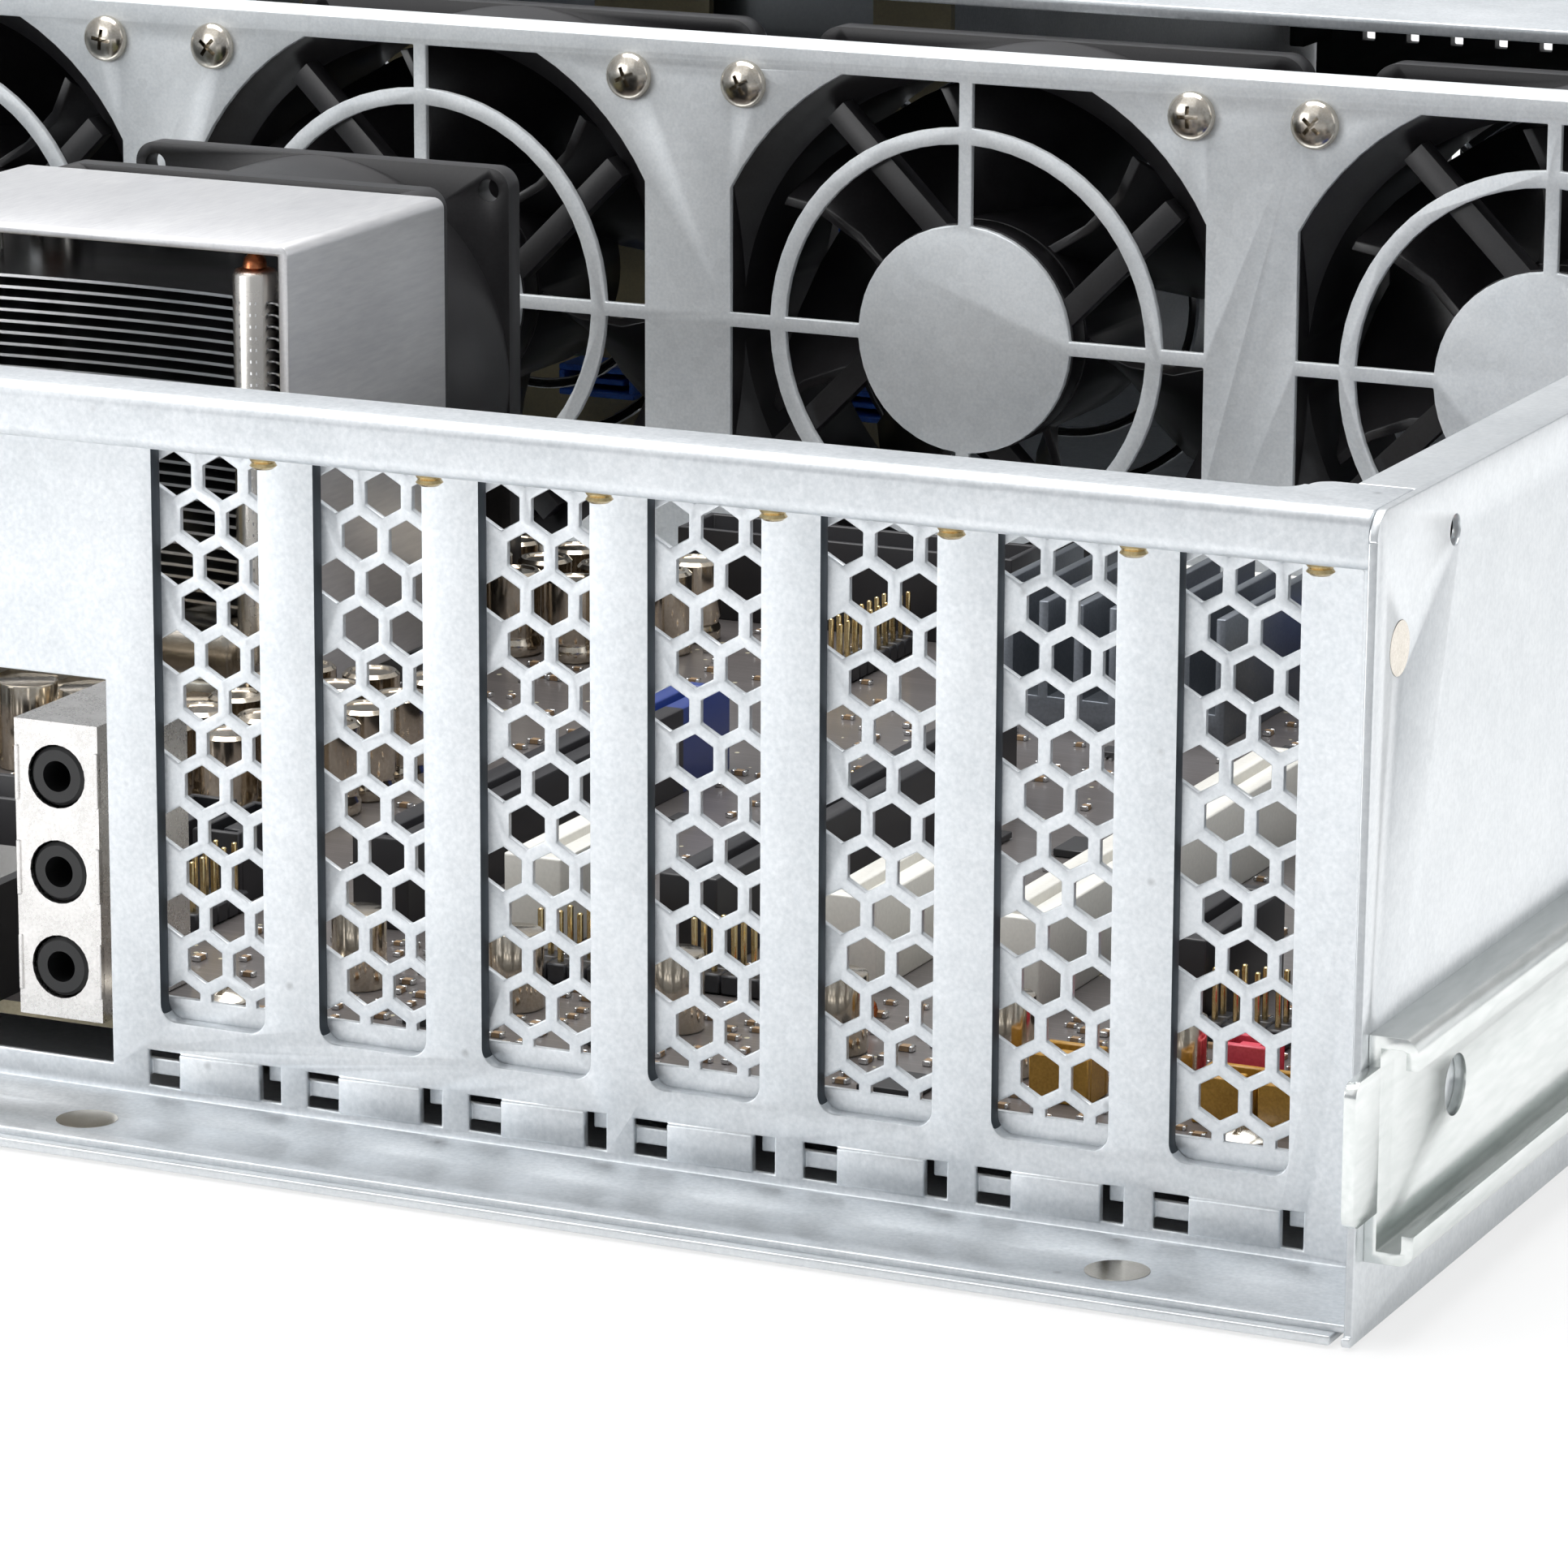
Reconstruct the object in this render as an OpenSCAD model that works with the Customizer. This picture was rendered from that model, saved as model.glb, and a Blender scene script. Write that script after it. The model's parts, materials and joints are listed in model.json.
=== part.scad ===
// Two-unit rackmount server case with its top cover off. A folded steel pan and
// rear panel carry seven vented slot covers, a board with its cooler, a power
// supply, a stamped wall with four fans, and six hot-swap drive trays in front.
// The rear panel faces -Y, the drive trays face +Y, and the floor lies on Z = 0.

/* [Chassis] */
// Width across the side walls
body_w = 430; // [426:1:440]
// Height of the side walls
body_h = 86; // [85:0.5:88]
// Depth from the rear panel to the front edge
body_l = 540; // [536:1:620]
// Thickness of the base pan
pan_t = 1; // [0.8:0.1:1.2]
// Thickness of the rear panel
panel_t = 0.8; // [0.6:0.1:1]
// How far the floor runs out behind the rear panel
floor_out = 19.3; // [18.7:0.1:21]
// How far the side walls run out behind the panel at their foot
side_out = 18.6; // [17.5:0.1:18.6]
// Width of the flange along the top of each side wall
top_flange_w = 7.1; // [6:0.1:10]

/* [Rear band] */
// Height of the folded band along the top of the rear panel
band_h = 6.2; // [5.5:0.1:7]
// Distance from the rear panel to the outside of the band
band_out = 17; // [16:0.1:17.4]
// Width of the flange on top of the band
band_flange_w = 8; // [6:0.1:10]
// Outer radius of the band's bends
bend_r = 1.6; // [1.2:0.1:2]

/* [Expansion slots] */
// Distance between slots
slot_pitch = 20.32; // [20:0.01:20.5]
// Width of a slot opening
slot_w = 13.31; // [12.5:0.01:13.6]
// Height of the foot of the slot openings
slot_z = 10.7; // [10:0.1:11.5]
// Radius of the slot openings' corners
slot_r = 2; // [1:0.1:2.4]
// Distance from the last slot opening to the outside of the side wall
slot_edge = 14.37; // [14:0.01:16]
// Depth of the turned rim behind each slot opening
rim_l = 1.2; // [0.8:0.1:1.6]
// Width of a slot cover
cover_w = 18.9; // [18.4:0.1:19.2]
// Thickness of a slot cover
cover_t = 0.8; // [0.6:0.1:1]

/* [Vent hexagons] */
// Size of a hexagon across its flats
hex_d = 4.4; // [3.6:0.1:4.6]
// Distance between hexagons in a row
hex_pitch = 5.83; // [5.6:0.01:6]
// Distance between rows of hexagons
hex_rise = 5.05; // [5:0.01:5.3]
// Height of the flat foot of the lowest row
hex_foot = 13; // [12.6:0.1:13.6]

/* [Port opening] */
// Width of the opening for the board's ports
io_w = 158.75; // [158:0.05:159.5]
// Height of the opening for the board's ports
io_h = 44.45; // [44:0.05:45]
// Height of the opening's foot
io_z = 5; // [4.6:0.1:5.4]
// Distance from the port opening to the first slot opening
io_gap = 6.4; // [5.4:0.1:7]

/* [Fan wall] */
// Distance from the rear panel to the fan wall
wall_y = 271; // [268:1:280]
// Thickness of the fan wall
wall_t = 1.2; // [1:0.1:1.5]
// Width of a fan's frame
fan_size = 80; // [78:0.5:81]
// Depth of a fan
fan_l = 38; // [36:0.5:38]
// Distance between fans
fan_pitch = 90.45; // [88:0.05:93]
// Height of the fans' axes
fan_z = 42.3; // [42:0.1:43.5]
// Distance between a fan's screws
fan_screw_pitch = 71.5; // [70:0.1:72]

/* [Processor cooler] */
// Width of the duct over the fins
duct_w = 67; // [65:0.5:70]
// Length of the duct over the fins
duct_l = 44; // [40:1:50]
// Thickness of the duct
duct_t = 1.5; // [1:0.1:2]
// Height of the duct's top
duct_z = 75; // [72:0.5:76]
// Distance from the rear panel to the duct
duct_y = 130; // [128:1:134]
// Width of the cooler's fan
cooler_fan_size = 60; // [58:0.5:61]
// Depth of the cooler's fan
cooler_fan_l = 25; // [22:0.5:25]
// Number of fins
fins = 21; // [12:1:24]
// Thickness of a fin
fin_t = 0.5; // [0.4:0.1:0.8]

/* [Board] */
// Width of the board
board_w = 304.8; // [300:0.1:306]
// Length of the board
board_l = 243.84; // [238:0.1:246]
// Thickness of the board
board_t = 1.6; // [1.2:0.1:2]
// Height of the standoffs
standoff_h = 6.35; // [6:0.05:6.5]

/* [Power supply] */
// Height of the power supply
psu_h = 70; // [66:0.5:72]
// Length of the power supply
psu_l = 225; // [200:1:235]
// Width of the power supply's fan
psu_fan_size = 60; // [56:0.5:62]
// Depth of the power supply's fan
psu_fan_l = 25; // [20:0.5:25]

/* [Drive bays] */
// Width inside a drive bay
bay_w = 105.5; // [105:0.1:106]
// Distance between the rows of trays
bay_rise = 27.7; // [27.6:0.1:27.9]
// Height of a tray
tray_h = 26.8; // [26.6:0.1:26.9]
// Running gap round a tray
tray_gap = 0.3; // [0.2:0.05:0.4]
// Width of a drive
drive_w = 101.6; // [100:0.1:101.7]
// Height of a drive
drive_h = 26.1; // [19:0.1:26.1]
// Length of a drive
drive_l = 147; // [140:1:150]

/* [Rack ears] */
// Width across both rack ears
ear_w = 482.6; // [480:0.1:484]
// Thickness of an ear
ear_t = 3; // [2:0.1:4]
// Distance between the rack holes across the case
rack_hole_pitch = 465.1; // [464:0.1:466]
// Distance between the rack holes up the case
rack_hole_rise = 76.2; // [75:0.1:76.6]
// Diameter of a rack hole
rack_hole_d = 7; // [6.5:0.1:7.4]
// How far the handles stand out in front
handle_out = 36; // [30:1:45]
// Diameter of a handle's bar
handle_d = 8; // [6:0.5:9]

/* [Slide rails] */
// Length of a rail
rail_l = 500; // [460:1:505]
// Height of a rail
rail_h = 22.4; // [20:0.1:24]
// Height of a rail's foot above the floor
rail_z = 9.9; // [8:0.1:11]
// Width of a rail
rail_w = 8.7; // [7:0.1:9.5]
// Thickness of a rail
rail_t = 1.2; // [1:0.1:1.4]
// How far a rail's tab runs out behind the rear panel
tail_out = 23; // [21:0.5:26]

/* [Hidden] */
$fn = 48;
// Overrun of a cut past the face that it opens
over = 0.5;
// Clearance between pieces that are set against one another
fit_gap = 0.15;
// Gap round a shaft in its bearing
shaft_gap = 0.08;

// The case lies centred on its whole length, from the rail tabs to the handles
total_l = tail_out + body_l + handle_out;
rear_y = -total_l / 2 + tail_out;
half_w = body_w / 2;
inner_x = half_w - pan_t;

// Rear panel and its band
foot_out = floor_out - panel_t - panel_t;
side_flange_out = band_out - panel_t;
side_lean = 1.4;
side_top_out = side_out - side_lean;
shelf_z = body_h - band_h;
shelf_top = shelf_z + panel_t;
band_tab_l = 5;
band_tab_w = 13;
rivets = 4;
rivet_pitch = 124.1;
rivet_y = -11;
rivet_r = 2;
rivet_head_r = 3.6;
corner_r = 3;
side_screw_y = -9.9;
side_screw_z = 70.9;
side_screw_r = 1.5;
side_screw_head_r = 3;
tapped_y = 6;
tapped_z = 80;
tapped_r = 1.6;
relief_w = 1.2;
relief_l = 11;
// Pan heads as shares of their radius or height
head_dome_share = 1.6;
recess_l_share = 0.6;
recess_w_share = 0.11;
recess_z_share = 0.45;

// Slots and their covers
slots = 7;
slot_top = shelf_z - panel_t * 2;
cover_y = panel_t + rim_l;
cover_side = (cover_w - slot_w) / 2;
cover_foot = slot_z - rim_l * 2;
tongue_w = 9.6;
tongue_z = 4.4;
tab_l = 12.5;
tab_x = -1;
tab_gap = 1;
slot_screw_x = 17.6;
slot_screw_y = -6;
slot_screw_r = 1.6;
slot_screw_head_r = 3.1;
slot_screw_head_h = 2.3;
slot_screw_tip = 3.1;
hex_x = 1.7;
hex_rows = 14;
hex_sink = 0.44;

// Bridge below each slot, with a lanced hole at each end
bridge_z = 3;
bridge_h = 4.1;
bridge_a_x = -1.75;
bridge_a_w = 4.15;
bridge_b_x = 12.7;
bridge_b_w = 2.5;
bridge_out = 0.4;
lance_h = 1.9;
lance_w = 1.9;
lance_b_w = 2.85;

// Ports, counted from the left end of the opening as shares of its width
io_x0 = half_w - slot_edge - slot_w - (slots - 1) * slot_pitch - io_gap - io_w;
shield_t = 0.5;
shield_lip = 2.4;
shield_gap = 0.15;
port_l = 20;
port_y = shield_t + fit_gap;
usb_w = 13.2;
usb_h = 15.8;
lan_w = 16;
lan_h = 13.6;
jack_block_w = 13;
jack_r = 2;
jack_rise = 11.6;
jack_hood_r = 4.2;
jack_top = 29;
jack_bore_l = 14;
port_wall = 0.6;
port_hollow_l = 12;
port_foot_z = pan_t + standoff_h + board_t;
jack_x_share = 0.945;
lan_x_shares = [0.56, 0.7, 0.84];
usb_x_shares = [0.28, 0.4];
serial_x_share = 0.253;
serial_w = 31;
serial_h = 12.5;
serial_wall = 2.5;
round_x_share = 0.11;
round_rise = 15;
round_r = 6;
round_bore_r = 4.2;
round_bore_l = 10;

// Board and what stands on it
board_x0 = io_x0 + shield_lip / 2;
board_y0 = 5;
board_z0 = pan_t + standoff_h;
board_z = board_z0 + board_t;
board_hole_r = 2;
board_hole_col_shares = [0.0208, 0.5375, 0.9458];
board_hole_row_shares = [0.0417, 0.6771, 0.974];
standoff_r = 3;
standoff_screw_r = 1.6;
standoff_head_r = 3.2;
standoff_head_h = 1.8;
card_slot_w = 7.5;
card_slot_h = 11.2;
card_slot_y = 46;
card_slot_l = 89;
card_short_l = 25;
card_groove_w = 1.9;
card_groove_l = 1.6;
card_groove_z_share = 0.25;
card_shift = 0.475;
dimm_slots = 4;
dimm_pitch = 8.2;
dimm_gap = 0.6;
dimm_slot_w = 6.6;
dimm_slot_h = 8;
dimm_l = 133.35;
dimm_t = 1.3;
dimm_h = 30;
dimm_y = 92;
dimm_clip_l = 5;
dimm_clip_h = 20;
memory_chips = 8;
memory_chip_w = 3.4;
memory_chip_l = 12;
memory_chip_edge = 2;
memory_chip_z_share = 0.35;
memory_chip_h_share = 0.5;
chip_w = 37;
chip_h = 17;
chip_base_h = 4;
chip_fins = 8;
chip_fin_t = 1.4;
chip_y_share = 0.72;
can_r = 4;
can_h = 11.5;
can_pitch = 9.4;
can_row = 7;
small_can_r = 3.2;
small_can_h = 9.2;
can_x0 = -28;
can_y = -28;
choke_y = -20;
choke_w = 9;
choke_h = 8;
socket_wall = 1;
socket_floor_share = 0.3;
power_plug_w = 11;
power_plug_l = 52;
power_plug_h = 13;
power_x_share = 0.4;
power_y_share = 0.88;
fan_plug_l = 20.8;
fan_plug_x_share = 0.33;
fan_plug_y_share = 0.15;
data_plugs = 6;
data_plug_pitch = 9.1;
data_plug_w = 6;
data_plug_l = 16;
data_plug_h = 10;
data_x_share = 0.62;
data_y_share = 0.9;
header_w = 9;
header_l = 14;
header_h = 9;
header_x = 2;
header_y_share = 0.11;

// Cooler
socket_w = 45;
socket_h = 6.2;
duct_x0 = io_x0 + io_w / 2 - duct_w / 2 - 2.85;
duct_x = duct_x0 + duct_w / 2;
cooler_y = duct_y + duct_l / 2;
base_w = 50;
base_h = 6.5;
base_z = board_z + socket_h;
pipe_r = 3;
pipe_cap_h = 3;
pipe_col_shares = [-0.42, -0.15, 0.15, 0.42];
pipe_row_share = 0.27;
fin_z0 = base_z + base_h + pipe_r;
fin_z1 = duct_z - duct_t - 12;
fin_w = duct_w - 2 * duct_t - 2 * fit_gap;
fin_l = duct_l - 3;
duct_foot = board_z + 5;
pad_l = 4;
cooler_fan_y = duct_y + duct_l + pad_l;
cooler_fan_z = duct_z - cooler_fan_size / 2;
pad_r = 3;

// Shares of a fan's width, alike for all the fans
fan_bore_share = 0.479;
fan_tube_share = 0.02;
fan_flange_share = 0.055;
fan_hub_share = 0.215;
fan_corner_share = 0.05;
fan_strut_share = 0.045;
fan_flare_share = 0.538;
fan_inside_share = 0.9525;
fan_screw_share = fan_screw_pitch / fan_size / 2;
fan_hole_share = 0.027;
fan_pin_share = 0.02;
blades = 7;
blade_t = 1.5;
blade_gap_share = 0.01;
blade_twist = -38;
blade_slices = 4;
blade_segments = 8;
blade_bow_share = 0.16;
blade_near_shares = [0.35, 0.8];
blade_far_share = 0.7;
blade_tip_share = 0.5;
hub_dome_share = 2.6;
strut_x_share = 0.5;
strut_y_share = 0.35;
strut_reach_share = 0.4;
strut_h_share = 0.8;

// Fan wall
wall_top = fan_z + fan_size / 2 + wall_t + tray_gap;
wall_flange_l = 11;
wall_hub_r = 17;
wall_ring_r = 29;
wall_ring_w = 2.5;
wall_spoke_w = 2.1;
wall_hole_r = 43;
wall_hole_w = 76.2;
wall_corner_r = 3;
fans = 4;
fan_y = wall_y + wall_t;
fan_front = fan_y + fan_l;
wall_screw_r = 2;
wall_screw_head_r = 3.6;
wall_screw_head_h = 2.4;
wire_r = 0.85;
guard_ring_shares = [0.16, 0.26, 0.36, 0.46];
guard_foot_share = 0.046;
guard_reach_share = 0.7;

// Power supply
psu_x0 = -inner_x + 1;
psu_x1 = io_x0 - 11;
psu_w = psu_x1 - psu_x0;
psu_t = 1;
psu_y = panel_t;
psu_open_edge = 3.5;
psu_fan_x = psu_x0 + psu_w - psu_t - fit_gap - psu_fan_size / 2;
psu_fan_z = pan_t + psu_h / 2;
psu_ring_w = 2;
psu_grille_shares = [0.2, 0.48, 0.76];
inlet_w = 27.5;
inlet_h = 20;
inlet_l = 22;
inlet_wall = 2;
inlet_pin_w = 2;
inlet_pin_h = 4;
inlet_pin_l = 14;
inlet_z_share = 0.66;
inlet_pin_x_share = 0.26;
inlet_pin_z_share = 0.12;
psu_vents = 13;
psu_vent_foot_share = 0.2;
psu_vent_h_share = 0.6;
psu_vent_w = 2.4;
psu_vent_pitch = 6;

// Drive cage, trays and levers
cage_t = 1;
cage_x0 = -inner_x;
bay_pitch = bay_w + cage_t;
backplane_t = 1.6;
bezel_l = 16;
plug_w = 42;
plug_h = 7;
plug_l = 6;
plug_gap = 0.5;
drive_y = body_l - bezel_l - fit_gap - drive_l;
cage_y = drive_y - plug_gap - plug_l;
backplane_y = cage_y - backplane_t;
cage_l = body_l - bezel_l - cage_y;
cage_h = body_h - 3 * pan_t;
backplane_h = body_h - 4 * pan_t;
backplane_hole_shares = [0.12, 0.6];
backplane_hole_w_share = 0.28;
backplane_hole_z_share = 0.45;
backplane_hole_h_share = 0.4;
plug_x_share = 0.28;
plug_z_share = 0.12;
row_z0 = pan_t + cage_t + tray_gap;
ledge_w = 4;
ledge_t = 0.6;
tray_w = bay_w - 2 * tray_gap;
tray_y = cage_y + plug_gap;
rail_side_t = 1.5;
tray_side_h = 20;
lever_l = 90;
lever_t = 5;
lever_h = 12;
lever_gap = 0.4;
pin_r = 1.4;
grip_x_share = 0.72;
grip_w_share = 0.2;
grip_y_share = 0.55;
grip_z_share = 0.2;
lever_recess_l = lever_t + 2 * lever_gap;
tray_vents = 14;
tray_vent_w = 3.2;
tray_vent_h = 4.2;
tray_vent_edge_share = 0.06;
tray_cols = 2;
tray_rows = 3;

// Peripheral bay, front panel and controls
blank_bay_w = 149.2;
blank_h = 41;
blank_gap = 0.3;
blank_t = 3;
blank_lip = 14;
blank_rib_w = 2.4;
blank_ribs = 16;
blank_rib_edge = 9;
blank_rib_z_share = 0.2;
front_t = 1.2;
strip_x0 = cage_x0 + 2 * bay_pitch + cage_t + blank_bay_w + cage_t;
control_w = 40;
control_h = 24;
control_l = 9;
control_z = 56;
power_r = 5;
reset_r = 2.2;
button_gap = 0.1;
button_out = 1.6;
button_l = 7;
light_r = 1.5;
light_pitch = 6;
strip_vent_rows = 6;
strip_vent_cols = 7;
strip_vent_w = 5;
strip_vent_h = 3;
strip_vent_rise = 6.4;
strip_vent_edge = 4;
power_x_share_of_panel = -0.24;
reset_x_share_of_panel = 0.1;
button_z_share = 0.6;
light_x = 6.8;
light_l = 3;
light_out = 0.6;

// Front cover, ears, handles and rails
lid_y = 318;
lid_t = 1;
lid_lip = 9;
ear_leg_l = 32;
ear_leg_t = 1.5;
ear_screw_r = 2;
ear_screw_head_r = 3.6;
ear_screw_shares = [0.25, 0.75];
handle_foot = 14;
handle_bend_r = 9;
handle_x = 6;
rail_lip = 4;
rail_r = 2.2;
rail_y = -12.9;
rail_tab_z = 4.3;
rail_tab_h = 13;
rail_hole_r = 3;
rail_hole_y = 11.1;
rail_hole_z = 10.1;
rail_hole_pitch = 400;
rail_holes = 2;

function slot_x(i) = half_w - slot_edge - slot_w - (slots - 1 - i) * slot_pitch;
function fan_x(i) = (i - (fans - 1) / 2) * fan_pitch;
function tray_x(i) = cage_x0 + cage_t + tray_gap + (i % tray_cols) * bay_pitch;
function tray_z(i) = row_z0 + floor(i / tray_cols) * bay_rise;

// Places a piece that is drawn from the rear panel's outer face
module from_rear() {
  translate([0, rear_y, 0]) children();
}

// Extrudes an outline of depth and height across the case
module along_x(w) {
  rotate([90, 0, 90]) linear_extrude(w) children();
}

// Extrudes an outline of width and height towards the front
module along_y(l) {
  translate([0, l, 0]) rotate([90, 0, 0]) linear_extrude(l) children();
}

// Round bar that points towards the front
module rod_y(r, l) {
  rotate([-90, 0, 0]) cylinder(r = r, h = l);
}

module both_sides() {
  children();
  mirror([1, 0, 0]) children();
}

// Rectangle with round corners
module round_rect(w, h, r) {
  translate([r, 0]) square([w - 2 * r, h]);
  translate([0, r]) square([w, h - 2 * r]);
  for (x = [r, w - r], y = [r, h - r]) translate([x, y]) circle(r);
}

module centred_round_rect(w, h, r) {
  translate([-w / 2, -h / 2]) round_rect(w, h, r);
}

// Ring between two radii
module ring(inner, outer) {
  difference() {
    circle(outer);
    circle(inner);
  }
}

// Pan head of a screw with its shank behind it, along Z
module pan_screw(head_r, head_h, shank_r, shank_l) {
  difference() {
    intersection() {
      cylinder(r = head_r, h = head_h);
      translate([0, 0, head_h - head_r * head_dome_share]) sphere(head_r * head_dome_share);
    }
    for (turn = [0, 90]) rotate(turn)
      translate([-head_r * recess_l_share, -head_r * recess_w_share, head_h * recess_z_share])
        cube([2 * head_r * recess_l_share, 2 * head_r * recess_w_share, head_h]);
  }
  translate([0, 0, -shank_l]) cylinder(r = shank_r, h = shank_l);
}

// Side wall seen from the side, with its rear edge leaning in towards the top
module side_outline() {
  difference() {
    polygon([[-side_out, 0], [body_l, 0], [body_l, body_h], [-side_top_out, body_h]]);
    translate([-side_top_out - over, body_h - corner_r]) difference() {
      square([corner_r + over, corner_r + over]);
      translate([corner_r + over, 0]) circle(corner_r);
    }
  }
}

module at_rivets() {
  for (i = [0 : rivets - 1]) translate([(i - (rivets - 1) / 2) * rivet_pitch, rivet_y, 0]) children();
}

module base_pan() {
  color("gainsboro") from_rear() difference() {
    union() {
      translate([-half_w, -floor_out, 0]) cube([body_w, floor_out + body_l, pan_t]);
      both_sides() {
        translate([inner_x, 0, 0]) along_x(pan_t) side_outline();
        translate([half_w - top_flange_w, -band_out + band_flange_w + band_tab_l, body_h - pan_t])
          cube([top_flange_w, body_l + band_out - band_flange_w - band_tab_l, pan_t]);
      }
    }
    both_sides() {
      translate([inner_x - relief_w, -floor_out - over, -over])
        cube([relief_w, relief_l + over, pan_t + 2 * over]);
      translate([inner_x - over, tapped_y, tapped_z]) rotate([0, 90, 0])
        cylinder(r = tapped_r, h = pan_t + 2 * over);
      translate([inner_x - over, side_screw_y, side_screw_z]) rotate([0, 90, 0])
        cylinder(r = side_screw_r, h = pan_t + 2 * over);
      translate([half_w - pan_t, side_screw_y, side_screw_z]) rotate([0, 90, 0])
        cylinder(r1 = side_screw_r, r2 = side_screw_head_r, h = pan_t);
    }
    at_rivets() translate([0, 0, -over]) cylinder(r = rivet_r, h = pan_t + 2 * over);
  }
}

// Fold of the rear panel: foot, panel, shelf and the band with its top flange
module panel_section() {
  translate([-foot_out, pan_t]) square([foot_out + panel_t, panel_t]);
  translate([0, pan_t]) square([panel_t, shelf_top - pan_t]);
  translate([-band_out + bend_r, shelf_z]) square([band_out + panel_t - bend_r, panel_t]);
  intersection() {
    translate([-band_out, shelf_z]) square([band_flange_w, band_h]);
    difference() {
      translate([-band_out, shelf_z]) round_rect(band_flange_w + bend_r, band_h, bend_r);
      translate([-band_out + panel_t, shelf_top])
        round_rect(band_flange_w + bend_r, band_h - 2 * panel_t, bend_r - panel_t);
    }
  }
}

module slot_opening(grow) {
  translate([-grow, slot_z - grow])
    round_rect(slot_w + 2 * grow, slot_top - slot_z + 2 * grow, slot_r + grow);
}

// Opening of the power supply bay in the rear panel
module psu_opening() {
  translate([psu_x0 + psu_open_edge, pan_t + psu_open_edge])
    round_rect(psu_w - 2 * psu_open_edge, psu_h - 2 * psu_open_edge, slot_r);
}

// Tab that widens the band's top flange at its end by a soft double curve
module band_tab() {
  translate([0, -band_out + band_flange_w - over]) {
    difference() {
      square([band_tab_w, band_tab_l / 2 + over]);
      translate([-over, band_tab_l / 2 + over]) circle(band_tab_l / 2);
    }
    translate([band_tab_l / 2, band_tab_l / 2]) difference() {
      square([band_tab_w - band_tab_l / 2, band_tab_l / 2 + over]);
      translate([-over, over]) difference() {
        square([band_tab_l / 2 + over, band_tab_l]);
        translate([band_tab_l / 2 + over, 0]) circle(band_tab_l / 2);
      }
    }
  }
}

module slot_bridge() {
  translate([bridge_a_x + bridge_a_w, -bridge_out, bridge_z])
    cube([bridge_b_x - bridge_a_x - bridge_a_w, bridge_out, bridge_h]);
  translate([bridge_a_x - lance_w, panel_t, bridge_z + (bridge_h - lance_h) / 2])
    cube([bridge_a_w + 2 * lance_w, panel_t, lance_h]);
  translate([bridge_b_x + bridge_b_w - lance_w, panel_t, bridge_z + bridge_h - lance_h])
    cube([lance_b_w, panel_t, 2 * lance_h]);
}

module rear_panel() {
  color("lightsteelblue") from_rear() {
    difference() {
      union() {
        translate([-inner_x, 0, 0]) along_x(2 * inner_x) panel_section();
        both_sides() {
          translate([inner_x - panel_t, -side_flange_out, pan_t])
            cube([panel_t, side_flange_out + panel_t, shelf_top - pan_t]);
          translate([inner_x - band_tab_w, 0, body_h - panel_t]) linear_extrude(panel_t) band_tab();
        }
      }
      for (i = [0 : slots - 1]) translate([slot_x(i), -over, 0]) {
        along_y(panel_t + 2 * over) slot_opening(0);
        translate([bridge_a_x, 0, bridge_z]) cube([bridge_a_w, panel_t + 2 * over, bridge_h]);
        translate([bridge_b_x, 0, bridge_z]) cube([bridge_b_w, panel_t + 2 * over, bridge_h]);
        translate([slot_screw_x, slot_screw_y + over, shelf_z - over])
          cylinder(r = slot_screw_r, h = panel_t + 2 * over);
      }
      translate([io_x0, -over, io_z]) cube([io_w, panel_t + 2 * over, io_h]);
      translate([0, -over, 0]) along_y(panel_t + 2 * over) psu_opening();
      at_rivets() translate([0, 0, pan_t]) cylinder(r1 = rivet_r, r2 = rivet_head_r, h = panel_t);
      both_sides() translate([inner_x - panel_t - over, side_screw_y, side_screw_z])
        rotate([0, 90, 0]) cylinder(r = side_screw_r, h = panel_t + 2 * over);
    }
    for (i = [0 : slots - 1]) translate([slot_x(i), 0, 0]) {
      translate([0, panel_t, 0]) along_y(rim_l) difference() {
        slot_opening(panel_t);
        slot_opening(0);
      }
      slot_bridge();
    }
  }
}

// Field of pointed hexagons over a slot opening, cut flat at its foot
module slot_hexes() {
  intersection() {
    translate([-cover_side, hex_foot]) square([cover_w, slot_top - hex_foot]);
    for (row = [0 : hex_rows - 1], col = [0 : 2 - row % 2])
      translate([hex_x + (row % 2) * hex_pitch / 2 + col * hex_pitch,
        hex_foot - hex_sink + row * hex_rise])
        rotate(90) circle(r = hex_d / sqrt(3), $fn = 6);
  }
}

module slot_cover() {
  translate([0, cover_y, 0]) along_y(cover_t) difference() {
    union() {
      translate([-cover_side, cover_foot]) square([cover_w, shelf_top + cover_t - cover_foot]);
      translate([(slot_w - tongue_w) / 2, tongue_z]) square([tongue_w, cover_foot - tongue_z]);
    }
    slot_hexes();
  }
  difference() {
    translate([tab_x, -tab_l + cover_y, shelf_top])
      cube([slot_pitch - tab_gap, tab_l, cover_t]);
    translate([slot_screw_x, slot_screw_y, shelf_top - over])
      cylinder(r = slot_screw_r + fit_gap, h = cover_t + 2 * over);
  }
}

module slot_covers() {
  color("lightgray") from_rear() for (i = [0 : slots - 1])
    translate([slot_x(i), 0, 0]) slot_cover();
}

module slot_screws() {
  color("goldenrod") from_rear() for (i = [0 : slots - 1])
    translate([slot_x(i) + slot_screw_x, slot_screw_y, shelf_top + cover_t])
      pan_screw(slot_screw_head_r, slot_screw_head_h, slot_screw_r - fit_gap / 2,
        cover_t + panel_t + slot_screw_tip);
}

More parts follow.
